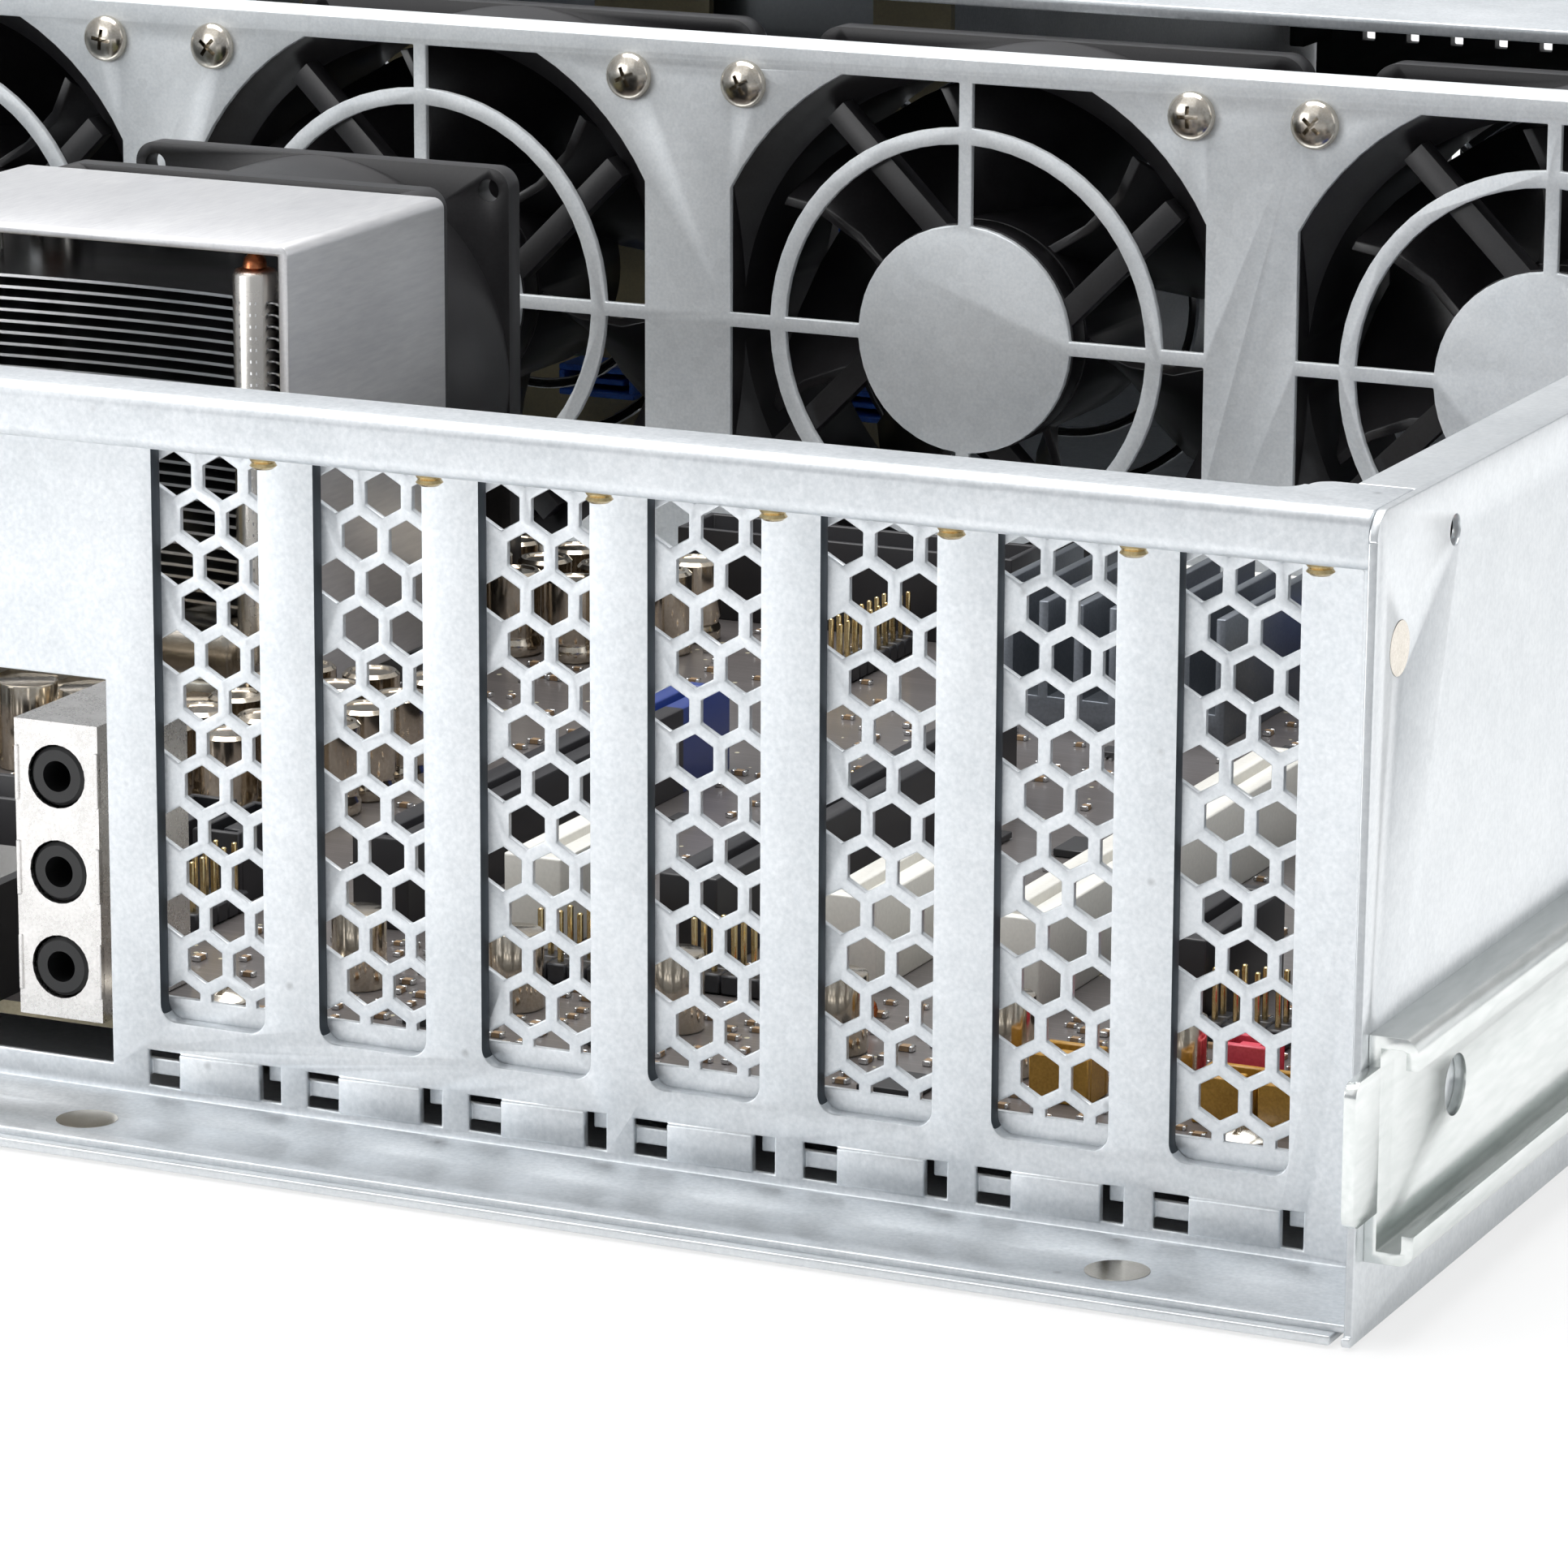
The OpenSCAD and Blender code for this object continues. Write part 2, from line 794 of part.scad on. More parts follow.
// Flush rivets in the floor's rear edge, and the screws of the sides, ears and board
module chassis_screws() {
  color("silver") from_rear() {
    at_rivets() {
      cylinder(r = rivet_r - fit_gap / 2, h = pan_t);
      translate([0, 0, pan_t])
        cylinder(r1 = rivet_r - fit_gap / 2, r2 = rivet_head_r - fit_gap / 2, h = panel_t);
    }
    both_sides() {
      translate([inner_x - panel_t, side_screw_y, side_screw_z]) rotate([0, 90, 0])
        cylinder(r = side_screw_r - fit_gap / 2, h = panel_t);
      translate([inner_x, side_screw_y, side_screw_z]) rotate([0, 90, 0])
        cylinder(r1 = side_screw_r - fit_gap / 2, r2 = side_screw_head_r - fit_gap / 2, h = pan_t);
      for (share = ear_screw_shares) translate([half_w, body_l - ear_leg_l / 2, body_h * share])
        rotate([0, 90, 0]) cylinder(r1 = ear_screw_r - fit_gap / 2,
          r2 = ear_screw_head_r - fit_gap / 2, h = ear_leg_t);
    }
    at_board_holes() translate([0, 0, board_z])
      pan_screw(standoff_head_r, standoff_head_h, standoff_screw_r, board_t);
  }
}

module at_board_holes() {
  for (col = board_hole_col_shares, row = board_hole_row_shares)
    translate([board_x0 + col * board_w, board_y0 + row * board_l, 0]) children();
}

// Openings for the ports, shared by the shield and by the ports behind it
module jack_column() {
  for (i = [0 : 2]) translate([0, i * jack_rise]) children();
}

module port_hole(share, w, z, h, grow) {
  translate([io_x0 + io_w * share - w / 2 - grow, port_foot_z + z - grow])
    square([w + 2 * grow, h + 2 * grow]);
}

module port_openings(grow) {
  translate([io_x0 + io_w * jack_x_share, port_foot_z + jack_block_w / 2]) jack_column()
    circle(jack_hood_r + grow);
  for (share = lan_x_shares) port_hole(share, lan_w, 0, lan_h, grow);
  for (share = usb_x_shares) port_hole(share, usb_w, 0, usb_h, grow);
  port_hole(serial_x_share, serial_w, usb_h + 2 * shield_gap, serial_h, 0);
  for (z = [0, round_rise])
    translate([io_x0 + io_w * round_x_share, port_foot_z + round_r + z]) circle(round_r + grow);
}

// Thin sprung plate in the port opening, with its rim turned into the case
module io_shield() {
  color("silver") from_rear() difference() {
    union() {
      translate([io_x0 + shield_gap, 0, io_z + shield_gap])
        cube([io_w - 2 * shield_gap, panel_t + shield_lip, io_h - 2 * shield_gap]);
      translate([io_x0 - shield_lip / 2, panel_t, io_z - shield_lip / 2])
        cube([io_w + shield_lip, shield_t, io_h + shield_lip]);
    }
    translate([io_x0 + shield_gap + shield_t, shield_t, io_z + shield_gap + shield_t])
      cube([io_w - 2 * (shield_gap + shield_t), panel_t + shield_lip,
        io_h - 2 * (shield_gap + shield_t)]);
    translate([0, -over, 0]) along_y(shield_t + 2 * over) port_openings(shield_gap);
  }
}

// Hollow port, open to the rear
module port_block(share, w, z, h, wall) {
  translate([io_x0 + io_w * share, 0, port_foot_z + z]) difference() {
    translate([-w / 2, 0, 0]) cube([w, port_l, h]);
    translate([-w / 2 + wall, -over, wall]) cube([w - 2 * wall, port_hollow_l, h - 2 * wall]);
  }
}

module io_ports() {
  color("dimgray") from_rear() translate([0, port_y, 0]) {
    translate([io_x0 + io_w * jack_x_share - jack_block_w / 2, 0, port_foot_z]) difference() {
      cube([jack_block_w, port_l, jack_block_w / 2 + jack_top]);
      translate([jack_block_w / 2, -over, jack_block_w / 2]) for (i = [0 : 2])
        translate([0, 0, i * jack_rise]) rod_y(jack_r, jack_bore_l);
    }
    for (share = lan_x_shares) port_block(share, lan_w, 0, lan_h, port_wall);
    for (share = usb_x_shares) port_block(share, usb_w, 0, usb_h, port_wall);
    port_block(serial_x_share, serial_w, usb_h + 2 * shield_gap, serial_h, serial_wall);
    translate([io_x0 + io_w * round_x_share - round_r, 0, port_foot_z]) difference() {
      cube([2 * round_r, port_l, round_rise + 2 * round_r]);
      for (z = [round_r, round_r + round_rise]) translate([round_r, -over, z])
        rod_y(round_bore_r, round_bore_l);
    }
  }
}

module motherboard() {
  color("darkslategray") from_rear() difference() {
    translate([board_x0, board_y0, board_z0]) cube([board_w, board_l, board_t]);
    at_board_holes() translate([0, 0, board_z0 - over])
      cylinder(r = board_hole_r, h = board_t + 2 * over);
  }
}

module board_standoffs() {
  color("darkgoldenrod") from_rear() at_board_holes() translate([0, 0, pan_t])
    cylinder(r = standoff_r, h = standoff_h, $fn = 6);
}

// Card connectors: long ones under the first, third and fifth openings
module card_slot(l) {
  difference() {
    translate([-card_slot_w / 2, 0, 0]) cube([card_slot_w, l, card_slot_h]);
    translate([-card_groove_w / 2, card_groove_l, card_slot_h * card_groove_z_share])
      cube([card_groove_w, l - 2 * card_groove_l, card_slot_h]);
  }
}

module expansion_slots() {
  color("black") from_rear() for (i = [0 : slots - 1])
    translate([slot_x(i) + card_shift, board_y0 + card_slot_y, board_z])
      card_slot(i % 2 == 0 ? card_slot_l : card_short_l);
}

dimm_x0 = duct_x0 - dimm_slot_w / 2 - dimm_gap;
function dimm_x(i) = dimm_x0 - i * dimm_pitch;

module memory_slots() {
  color("midnightblue") from_rear() for (i = [0 : dimm_slots - 1])
    translate([dimm_x(i), dimm_y, board_z]) difference() {
      union() {
        translate([-dimm_slot_w / 2, 0, 0])
          cube([dimm_slot_w, dimm_l + 2 * dimm_clip_l, dimm_slot_h]);
        for (y = [0, dimm_l + dimm_clip_l]) translate([-dimm_slot_w / 2, y, 0])
          cube([dimm_slot_w, dimm_clip_l, dimm_clip_h]);
      }
      translate([-dimm_t / 2 - fit_gap, dimm_clip_l - dimm_clip_l / 2, dimm_slot_h / 2])
        cube([dimm_t + 2 * fit_gap, dimm_l + dimm_clip_l, dimm_clip_h]);
    }
}

module memory_modules() {
  color("seagreen") from_rear() for (i = [0 : dimm_slots - 1])
    translate([dimm_x(i), dimm_y + dimm_clip_l, board_z + dimm_slot_h / 2]) {
      translate([-dimm_t / 2, 0, 0]) cube([dimm_t, dimm_l, dimm_h]);
      for (chip = [0 : memory_chips - 1]) translate([-memory_chip_w / 2,
        memory_chip_edge + chip * dimm_l / memory_chips, dimm_h * memory_chip_z_share])
          cube([memory_chip_w, memory_chip_l, dimm_h * memory_chip_h_share]);
    }
}

module board_connectors() {
  color("ivory") from_rear() {
    translate([board_x0 + board_w * power_x_share, board_y0 + board_l * power_y_share, board_z])
      open_socket(power_plug_l, power_plug_w, power_plug_h);
    translate([board_x0 + board_w * fan_plug_x_share, board_y0 + board_l * fan_plug_y_share, board_z])
      open_socket(fan_plug_l, power_plug_w, power_plug_h);
  }
  color("firebrick") from_rear() for (i = [0 : data_plugs - 1])
    translate([board_x0 + board_w * data_x_share + i * data_plug_pitch,
      board_y0 + board_l * data_y_share, board_z])
      open_socket(data_plug_w, data_plug_l, data_plug_h);
  color("goldenrod") from_rear()
    translate([slot_x(slots - 1) + header_x, board_y0 + board_l * header_y_share, board_z])
      open_socket(header_w, header_l, header_h);
}

// Open plastic socket of a width, length and height
module open_socket(w, l, h) {
  difference() {
    cube([w, l, h]);
    translate([socket_wall, socket_wall, h * socket_floor_share])
      cube([w - 2 * socket_wall, l - 2 * socket_wall, h]);
  }
}

module board_capacitors() {
  color("slategray") from_rear() {
    for (i = [0 : can_row - 1]) {
      translate([duct_x + can_x0 + i * can_pitch, duct_y + can_y, board_z])
        cylinder(r = can_r, h = can_h);
      translate([duct_x + can_x0 + i * can_pitch - can_r, duct_y + choke_y, board_z])
        cube([2 * can_r, choke_w, choke_h]);
    }
    for (i = [0 : slots - 2])
      translate([slot_x(i) + slot_pitch / 2, board_y0 + card_slot_y / 2, board_z])
        cylinder(r = small_can_r, h = small_can_h);
  }
}

module chipset_heatsink() {
  color("lightslategray") from_rear() translate([slot_x(1), board_y0 + board_l * chip_y_share, board_z]) {
    cube([chip_w, chip_w, chip_base_h]);
    for (i = [0 : chip_fins - 1])
      translate([i * (chip_w - chip_fin_t) / (chip_fins - 1), 0, chip_base_h])
        cube([chip_fin_t, chip_w, chip_h - chip_base_h]);
  }
}

module cpu_socket() {
  color("tan") from_rear() translate([duct_x, cooler_y, board_z])
    linear_extrude(socket_h) centred_round_rect(socket_w, socket_w, pipe_r);
}

module at_pipes() {
  for (col = pipe_col_shares, row = [-1, 1])
    translate([duct_x + col * base_w, cooler_y + row * pipe_row_share * duct_l, 0]) children();
}

module cooler_base() {
  color("silver") from_rear() difference() {
    translate([duct_x, cooler_y, base_z]) linear_extrude(base_h)
      centred_round_rect(base_w, duct_l - 2, pipe_r);
    at_pipes() translate([0, 0, base_z + base_h / 2]) cylinder(r = pipe_r + shaft_gap, h = base_h);
  }
}

module cooler_heat_pipes() {
  color("chocolate") from_rear() at_pipes() {
    translate([0, 0, base_z + base_h / 2]) cylinder(r = pipe_r, h = fin_z1 - base_z - base_h / 2);
    translate([0, 0, fin_z1]) cylinder(r1 = pipe_r, r2 = pipe_r / 3, h = pipe_cap_h);
  }
}

module cooler_fins() {
  color("whitesmoke") from_rear() for (i = [0 : fins - 1])
    translate([0, 0, fin_z0 + i * (fin_z1 - fin_z0 - fin_t) / (fins - 1)]) difference() {
      translate([duct_x - fin_w / 2, cooler_y - fin_l / 2, 0]) cube([fin_w, fin_l, fin_t]);
      at_pipes() translate([0, 0, -over]) cylinder(r = pipe_r + shaft_gap / 2, h = fin_t + 2 * over);
    }
}

// Inverted trough over the fins, open to the airflow
module cooler_duct() {
  color("gainsboro") from_rear() translate([duct_x0, duct_y, 0]) along_y(duct_l) difference() {
    translate([0, duct_foot - duct_t]) intersection() {
      round_rect(duct_w, duct_z - duct_foot + duct_t, duct_t);
      translate([0, duct_t]) square([duct_w, duct_z]);
    }
    translate([duct_t, duct_foot - over])
      square([duct_w - 2 * duct_t, duct_z - duct_foot - duct_t + over]);
  }
}

// Fan frame along Z, from its struts at the back to its open front
module fan_frame(size, l) {
  bore = size * fan_bore_share;
  flange = size * fan_flange_share;
  hub = size * fan_hub_share;
  reach = sqrt(bore * bore - hub * hub * strut_reach_share * strut_reach_share) + over;
  difference() {
    union() {
      for (z = [0, l - flange]) translate([0, 0, z]) linear_extrude(flange)
        centred_round_rect(size, size, size * fan_corner_share);
      intersection() {
        cylinder(r = bore + size * fan_tube_share, h = l);
        translate([-size / 2, -size / 2, 0]) cube([size, size, l]);
      }
    }
    translate([0, 0, -over]) cylinder(r = bore, h = l + 2 * over);
    for (turn = [0, 180]) translate([0, 0, l / 2]) rotate([turn, 0, 0]) intersection() {
      translate([0, 0, l / 2 - flange]) cylinder(r1 = bore, r2 = size * fan_flare_share, h = flange);
      translate([-size * fan_inside_share / 2, -size * fan_inside_share / 2, 0])
        cube([size * fan_inside_share, size * fan_inside_share, l]);
    }
    for (x = [-1, 1], y = [-1, 1])
      translate([x * size * fan_screw_share, y * size * fan_screw_share, -over])
        cylinder(r = size * fan_hole_share, h = l + 2 * over);
  }
  difference() {
    union() {
      cylinder(r = hub, h = flange);
      for (turn = [45 : 90 : 315]) rotate(turn)
        translate([hub * strut_x_share, hub * strut_y_share, 0])
          cube([reach - hub * strut_x_share, size * fan_strut_share, flange * strut_h_share]);
    }
    translate([0, 0, flange / 4]) cylinder(r = size * fan_pin_share + shaft_gap, h = flange);
  }
}

// Thin curved blade from the hub to the tip, bowed by a share of its reach
module blade_outline(root, tip) {
  reach = tip - root;
  bow = reach * blade_bow_share;
  line = [[root, 0], [root + reach * blade_near_shares[0], bow * blade_near_shares[1]],
    [root + reach * blade_far_share, bow], [tip, bow * blade_tip_share]];
  polygon(concat([for (p = line) p - [0, blade_t / 2]],
    [for (i = [len(line) - 1 : -1 : 0]) line[i] + [0, blade_t / 2]]));
}

module fan_rotor(size, l) {
  flange = size * fan_flange_share;
  hub = size * fan_hub_share;
  gap = size * blade_gap_share;
  rotor_l = l - flange - 3 * gap;
  tip = size * fan_bore_share - gap;
  translate([0, 0, flange + gap]) {
    intersection() {
      cylinder(r = hub, h = rotor_l);
      translate([0, 0, rotor_l - hub * hub_dome_share]) sphere(hub * hub_dome_share);
    }
    for (i = [0 : blades - 1]) rotate(i * 360 / blades) translate([0, 0, gap])
      intersection() {
        linear_extrude(rotor_l - 3 * gap, twist = blade_twist, slices = blade_slices,
          segments = blade_segments) blade_outline(hub - gap, tip - gap);
        cylinder(r = tip, h = rotor_l);
      }
  }
  translate([0, 0, flange / 2]) cylinder(r = size * fan_pin_share, h = flange);
}

// Turns a fan so that its axis points towards the front
module place_fan(x, y, z) {
  from_rear() translate([x, y, z]) rotate([-90, 0, 0]) children();
}

module case_fan_frame(i) {
  color("black") place_fan(fan_x(i), fan_y, fan_z) fan_frame(fan_size, fan_l);
}

module case_fan_rotor(i) {
  color("dimgray") place_fan(fan_x(i), fan_y, fan_z) fan_rotor(fan_size, fan_l);
}

module cooler_fan_frame() {
  color("black") place_fan(duct_x, cooler_fan_y, cooler_fan_z) {
    fan_frame(cooler_fan_size, cooler_fan_l);
    for (x = [-1, 1]) translate([x, -1, 0] * (cooler_fan_size / 2 - pad_r))
      translate([0, 0, fit_gap - pad_l]) cylinder(r = pad_r, h = pad_l);
  }
}

module cooler_fan_rotor() {
  color("dimgray") place_fan(duct_x, cooler_fan_y, cooler_fan_z)
    fan_rotor(cooler_fan_size, cooler_fan_l);
}

// Stamped guard in each opening: a disc, a ring and a cross of two spokes
module wall_opening() {
  difference() {
    intersection() {
      circle(wall_hole_r);
      centred_round_rect(wall_hole_w, wall_hole_w, wall_corner_r);
    }
    circle(wall_hub_r);
    ring(wall_ring_r, wall_ring_r + wall_ring_w);
    square([2 * wall_hole_r, wall_spoke_w], center = true);
    square([wall_spoke_w, 2 * wall_hole_r], center = true);
  }
}

module fan_wall() {
  color("silver") from_rear() {
    translate([0, wall_y, 0]) along_y(wall_t) difference() {
      translate([-inner_x + fit_gap, pan_t]) square([2 * (inner_x - fit_gap), wall_top - pan_t]);
      for (i = [0 : fans - 1]) translate([fan_x(i), fan_z]) {
        wall_opening();
        for (x = [-1, 1], y = [-1, 1]) translate([x * fan_screw_pitch / 2, y * fan_screw_pitch / 2])
          circle(wall_screw_r + fit_gap);
      }
    }
    translate([-inner_x + top_flange_w, wall_y, wall_top - wall_t])
      cube([2 * (inner_x - top_flange_w), wall_flange_l, wall_t]);
    both_sides() translate([inner_x - fit_gap - wall_t, wall_y, pan_t])
      cube([wall_t, wall_flange_l, wall_top - pan_t]);
  }
}

module fan_wall_screws() {
  color("silver") from_rear() for (i = [0 : fans - 1], x = [-1, 1], z = [-1, 1])
    translate([fan_x(i) + x * fan_screw_pitch / 2, wall_y, fan_z + z * fan_screw_pitch / 2])
      rotate([90, 0, 0]) pan_screw(wall_screw_head_r, wall_screw_head_h, wall_screw_r,
        wall_t + fan_size * fan_flange_share);
}

// Bent wire guard on the front of each fan
module wire_guard() {
  for (share = guard_ring_shares) rotate_extrude()
    translate([fan_size * share, 0]) circle(wire_r, $fn = 8);
  for (turn = [45, 135]) rotate(turn)
    translate([-fan_screw_pitch * guard_reach_share, 0, wire_r]) rotate([0, 90, 0])
      cylinder(r = wire_r, h = 2 * fan_screw_pitch * guard_reach_share, $fn = 8);
  for (x = [-1, 1], y = [-1, 1]) translate([x, y, 0] * fan_screw_pitch / 2)
    translate([0, 0, -wire_r]) cylinder(r = fan_size * guard_foot_share, h = 2 * wire_r);
}

module fan_guards() {
  color("white") for (i = [0 : fans - 1]) place_fan(fan_x(i), fan_front + wire_r, fan_z) wire_guard();
}

// Round grille over the power supply's fan: rings on a cross
module psu_grille() {
  difference() {
    circle(psu_fan_size * fan_bore_share);
    for (share = psu_grille_shares)
      ring(psu_fan_size / 2 * share, psu_fan_size / 2 * share + psu_ring_w);
    for (turn = [45, 135]) rotate(turn) square([psu_fan_size, psu_ring_w], center = true);
  }
}

inlet_x = psu_x0 + (psu_w - psu_fan_size) / 2 - fit_gap;
inlet_z = pan_t + psu_h * inlet_z_share;

module psu_case() {
  color("darkgray") from_rear() {
    difference() {
      translate([psu_x0, psu_y, pan_t]) cube([psu_w, psu_l, psu_h]);
      translate([psu_x0 + psu_t, psu_y + psu_t, pan_t + psu_t])
        cube([psu_w - 2 * psu_t, psu_l - 2 * psu_t, psu_h - 2 * psu_t]);
      translate([psu_fan_x, psu_y - over, psu_fan_z]) along_y(psu_t + 2 * over) psu_grille();
      translate([inlet_x - inlet_w / 2, psu_y - over, inlet_z - inlet_h / 2])
        cube([inlet_w, psu_t + 2 * over, inlet_h]);
      for (i = [0 : psu_vents - 1]) translate([(psu_x0 + psu_x1 - psu_vent_w) / 2
        + (i - (psu_vents - 1) / 2) * psu_vent_pitch, psu_y + psu_l - psu_t - over,
        pan_t + psu_h * psu_vent_foot_share])
          cube([psu_vent_w, psu_t + 2 * over, psu_h * psu_vent_h_share]);
    }
    translate([inlet_x, psu_y, inlet_z]) {
      difference() {
        translate([-inlet_w / 2, 0, -inlet_h / 2]) cube([inlet_w, inlet_l, inlet_h]);
        translate([-inlet_w / 2 + inlet_wall, -over, -inlet_h / 2 + inlet_wall])
          cube([inlet_w - 2 * inlet_wall, inlet_l - inlet_wall, inlet_h - 2 * inlet_wall]);
      }
      for (x = [-1, 0, 1])
        translate([x * inlet_w * inlet_pin_x_share - inlet_pin_w / 2, inlet_l - inlet_wall - inlet_pin_l,
          (x == 0 ? 1 : -1) * inlet_h * inlet_pin_z_share - inlet_pin_h / 2])
          cube([inlet_pin_w, inlet_pin_l, inlet_pin_h]);
    }
  }
}

module psu_fan_frame() {
  color("black") place_fan(psu_fan_x, psu_y + psu_t + fit_gap, psu_fan_z)
    fan_frame(psu_fan_size, psu_fan_l);
}

module psu_fan_rotor() {
  color("dimgray") place_fan(psu_fan_x, psu_y + psu_t + fit_gap, psu_fan_z)
    fan_rotor(psu_fan_size, psu_fan_l);
}

// Cage of folded sheet: floor, walls between the bays, and ledges for the trays
module drive_cage() {
  color("lightgray") from_rear() translate([0, cage_y, 0]) {
    translate([cage_x0, 0, pan_t]) cube([tray_cols * bay_pitch + cage_t, cage_l, cage_t]);
    for (i = [0 : tray_cols]) translate([cage_x0 + i * bay_pitch, 0, pan_t])
      cube([cage_t, cage_l + bezel_l - front_t, cage_h]);
    for (i = [0 : tray_cols - 1], row = [1 : tray_rows - 1])
      translate([cage_x0 + cage_t + i * bay_pitch, 0,
        row_z0 + row * bay_rise - tray_gap - ledge_t]) {
        cube([ledge_w, cage_l, ledge_t]);
        translate([bay_w - ledge_w, 0, 0]) cube([ledge_w, cage_l, ledge_t]);
      }
    translate([strip_x0 - cage_t, 0, pan_t]) cube([cage_t, cage_l + bezel_l - front_t, cage_h]);
    translate([cage_x0 + tray_cols * bay_pitch + cage_t, 0, pan_t])
      cube([blank_bay_w, cage_l, cage_t]);
  }
}

module drive_backplane() {
  color("darkgreen") from_rear() {
    translate([0, backplane_y, 0]) along_y(backplane_t) difference() {
      translate([cage_x0 + fit_gap, pan_t]) square([tray_cols * bay_pitch + cage_t, backplane_h]);
      for (i = [0 : tray_cols - 1], row = [0 : tray_rows - 1], share = backplane_hole_shares)
        translate([cage_x0 + cage_t + i * bay_pitch + bay_w * share,
          row_z0 + row * bay_rise + tray_h * backplane_hole_z_share])
          square([bay_w * backplane_hole_w_share, tray_h * backplane_hole_h_share]);
    }
    for (i = [0 : tray_cols * tray_rows - 1])
      translate([tray_x(i) + tray_w * plug_x_share, cage_y, tray_z(i) + tray_h * plug_z_share])
        cube([plug_w, plug_l, plug_h]);
  }
}

lever_x = (tray_w - lever_l) / 2;
lever_z = (tray_h - lever_h) / 2;
tray_vent_x0 = tray_w * tray_vent_edge_share;
tray_vent_z0 = tray_h * tray_vent_edge_share;

// Tray: vented bezel with its lever recess, pin and side rails, and the drive in it
module drive_tray(i) {
  color("darkslategray") from_rear() translate([tray_x(i), 0, tray_z(i)]) {
    difference() {
      translate([0, body_l - bezel_l, 0]) cube([tray_w, bezel_l, tray_h]);
      translate([lever_x - lever_gap, body_l - lever_recess_l - lever_gap, lever_z - lever_gap])
        cube([lever_l + 2 * lever_gap, bezel_l, lever_h + 2 * lever_gap]);
      for (v = [0 : tray_vents - 1], z = [tray_vent_z0, tray_h - tray_vent_z0 - tray_vent_h])
        translate([tray_vent_x0 + (tray_w - 2 * tray_vent_x0 - tray_vent_w) * v / (tray_vents - 1),
          body_l - bezel_l - over, z])
          cube([tray_vent_w, bezel_l + 2 * over, tray_vent_h]);
    }
    translate([lever_x + lever_t / 2, body_l - lever_recess_l + lever_t / 2, lever_z - 2 * lever_gap])
      cylinder(r = pin_r, h = lever_h + 4 * lever_gap);
    for (x = [0, tray_w - rail_side_t]) translate([x, tray_y, tray_gap])
      cube([rail_side_t, body_l - bezel_l - tray_y, tray_side_h]);
  }
  color("gray") from_rear()
    translate([tray_x(i) + (tray_w - drive_w) / 2, drive_y, tray_z(i) + tray_gap])
      cube([drive_w, drive_l, drive_h]);
}

// Lever with round ends, its pin's bore and a grip sunk near the free end
module tray_lever(i) {
  color("slategray") from_rear()
    translate([tray_x(i) + lever_x, body_l - lever_recess_l, tray_z(i) + lever_z]) difference() {
      linear_extrude(lever_h) {
        translate([lever_t / 2, lever_t / 2]) circle(lever_t / 2);
        translate([lever_t / 2, 0]) square([lever_l - lever_t, lever_t]);
        translate([lever_l - lever_t / 2, lever_t / 2]) circle(lever_t / 2);
      }
      translate([lever_t / 2, lever_t / 2, -over])
        cylinder(r = pin_r + button_gap, h = lever_h + 2 * over);
      translate([lever_l * grip_x_share, lever_t * grip_y_share, lever_h * grip_z_share])
        cube([lever_l * grip_w_share, lever_t, lever_h * (1 - 2 * grip_z_share)]);
    }
}

blank_x0 = cage_x0 + tray_cols * bay_pitch + cage_t + blank_gap;
blank_w = blank_bay_w - 2 * blank_gap;
blank_slot_h = blank_h * (1 - 2 * blank_rib_z_share);

module bay_blanks() {
  color("dimgray") from_rear() for (i = [0, 1])
    translate([blank_x0, 0, pan_t + cage_t + blank_gap + i * (blank_h + blank_gap)]) {
      difference() {
        translate([0, body_l - blank_t, 0]) cube([blank_w, blank_t, blank_h]);
        for (r = [0 : blank_ribs - 1])
          translate([blank_rib_edge + (blank_w - 2 * blank_rib_edge - blank_rib_w) * r / (blank_ribs - 1),
            body_l - blank_t - over, blank_h * blank_rib_z_share])
            cube([blank_rib_w, blank_t + 2 * over, blank_slot_h]);
      }
      for (x = [0, blank_w - blank_t])
        translate([x, body_l - blank_t - blank_lip, blank_h * blank_rib_z_share])
          cube([blank_t, blank_lip, blank_slot_h]);
    }
}

strip_w = inner_x - strip_x0;
control_x = strip_x0 + strip_w / 2;
power_x = control_x + control_w * power_x_share_of_panel;
reset_x = control_x + control_w * reset_x_share_of_panel;
button_z = control_z + control_h * button_z_share;

// Vented strip beside the bays, cut out for the control panel
module front_panel() {
  color("gray") from_rear() translate([0, body_l - front_t, 0]) along_y(front_t) difference() {
    translate([strip_x0, pan_t]) square([strip_w - fit_gap, cage_h]);
    translate([control_x - control_w / 2 - fit_gap, control_z - fit_gap])
      square([control_w + 2 * fit_gap, control_h + 2 * fit_gap]);
    for (col = [0 : strip_vent_cols - 1], row = [0 : strip_vent_rows - 1])
      translate([strip_x0 + strip_vent_edge + (strip_w - 2 * strip_vent_edge - strip_vent_w)
        * col / (strip_vent_cols - 1), pan_t + strip_vent_rise * (row + 1)])
        square([strip_vent_w, strip_vent_h]);
  }
}

module at_lights() {
  for (col = [0, 1], row = [0, 1])
    translate([reset_x + light_x + col * light_pitch, body_l - light_l, button_z - row * light_pitch])
      children();
}

module control_panel() {
  color("black") from_rear() difference() {
    union() {
      translate([control_x - control_w / 2, body_l - control_l, control_z])
        cube([control_w, control_l, control_h]);
      translate([control_x - control_w / 2 - cage_t, body_l - control_l, control_z - cage_t])
        cube([control_w + 2 * cage_t, control_l - front_t, control_h + 2 * cage_t]);
    }
    translate([power_x, body_l - control_l - over, button_z])
      rod_y(power_r + button_gap, control_l + 2 * over);
    translate([reset_x, body_l - control_l - over, button_z])
      rod_y(reset_r + button_gap, control_l + 2 * over);
    at_lights() rod_y(light_r + button_gap, light_l + over);
  }
}

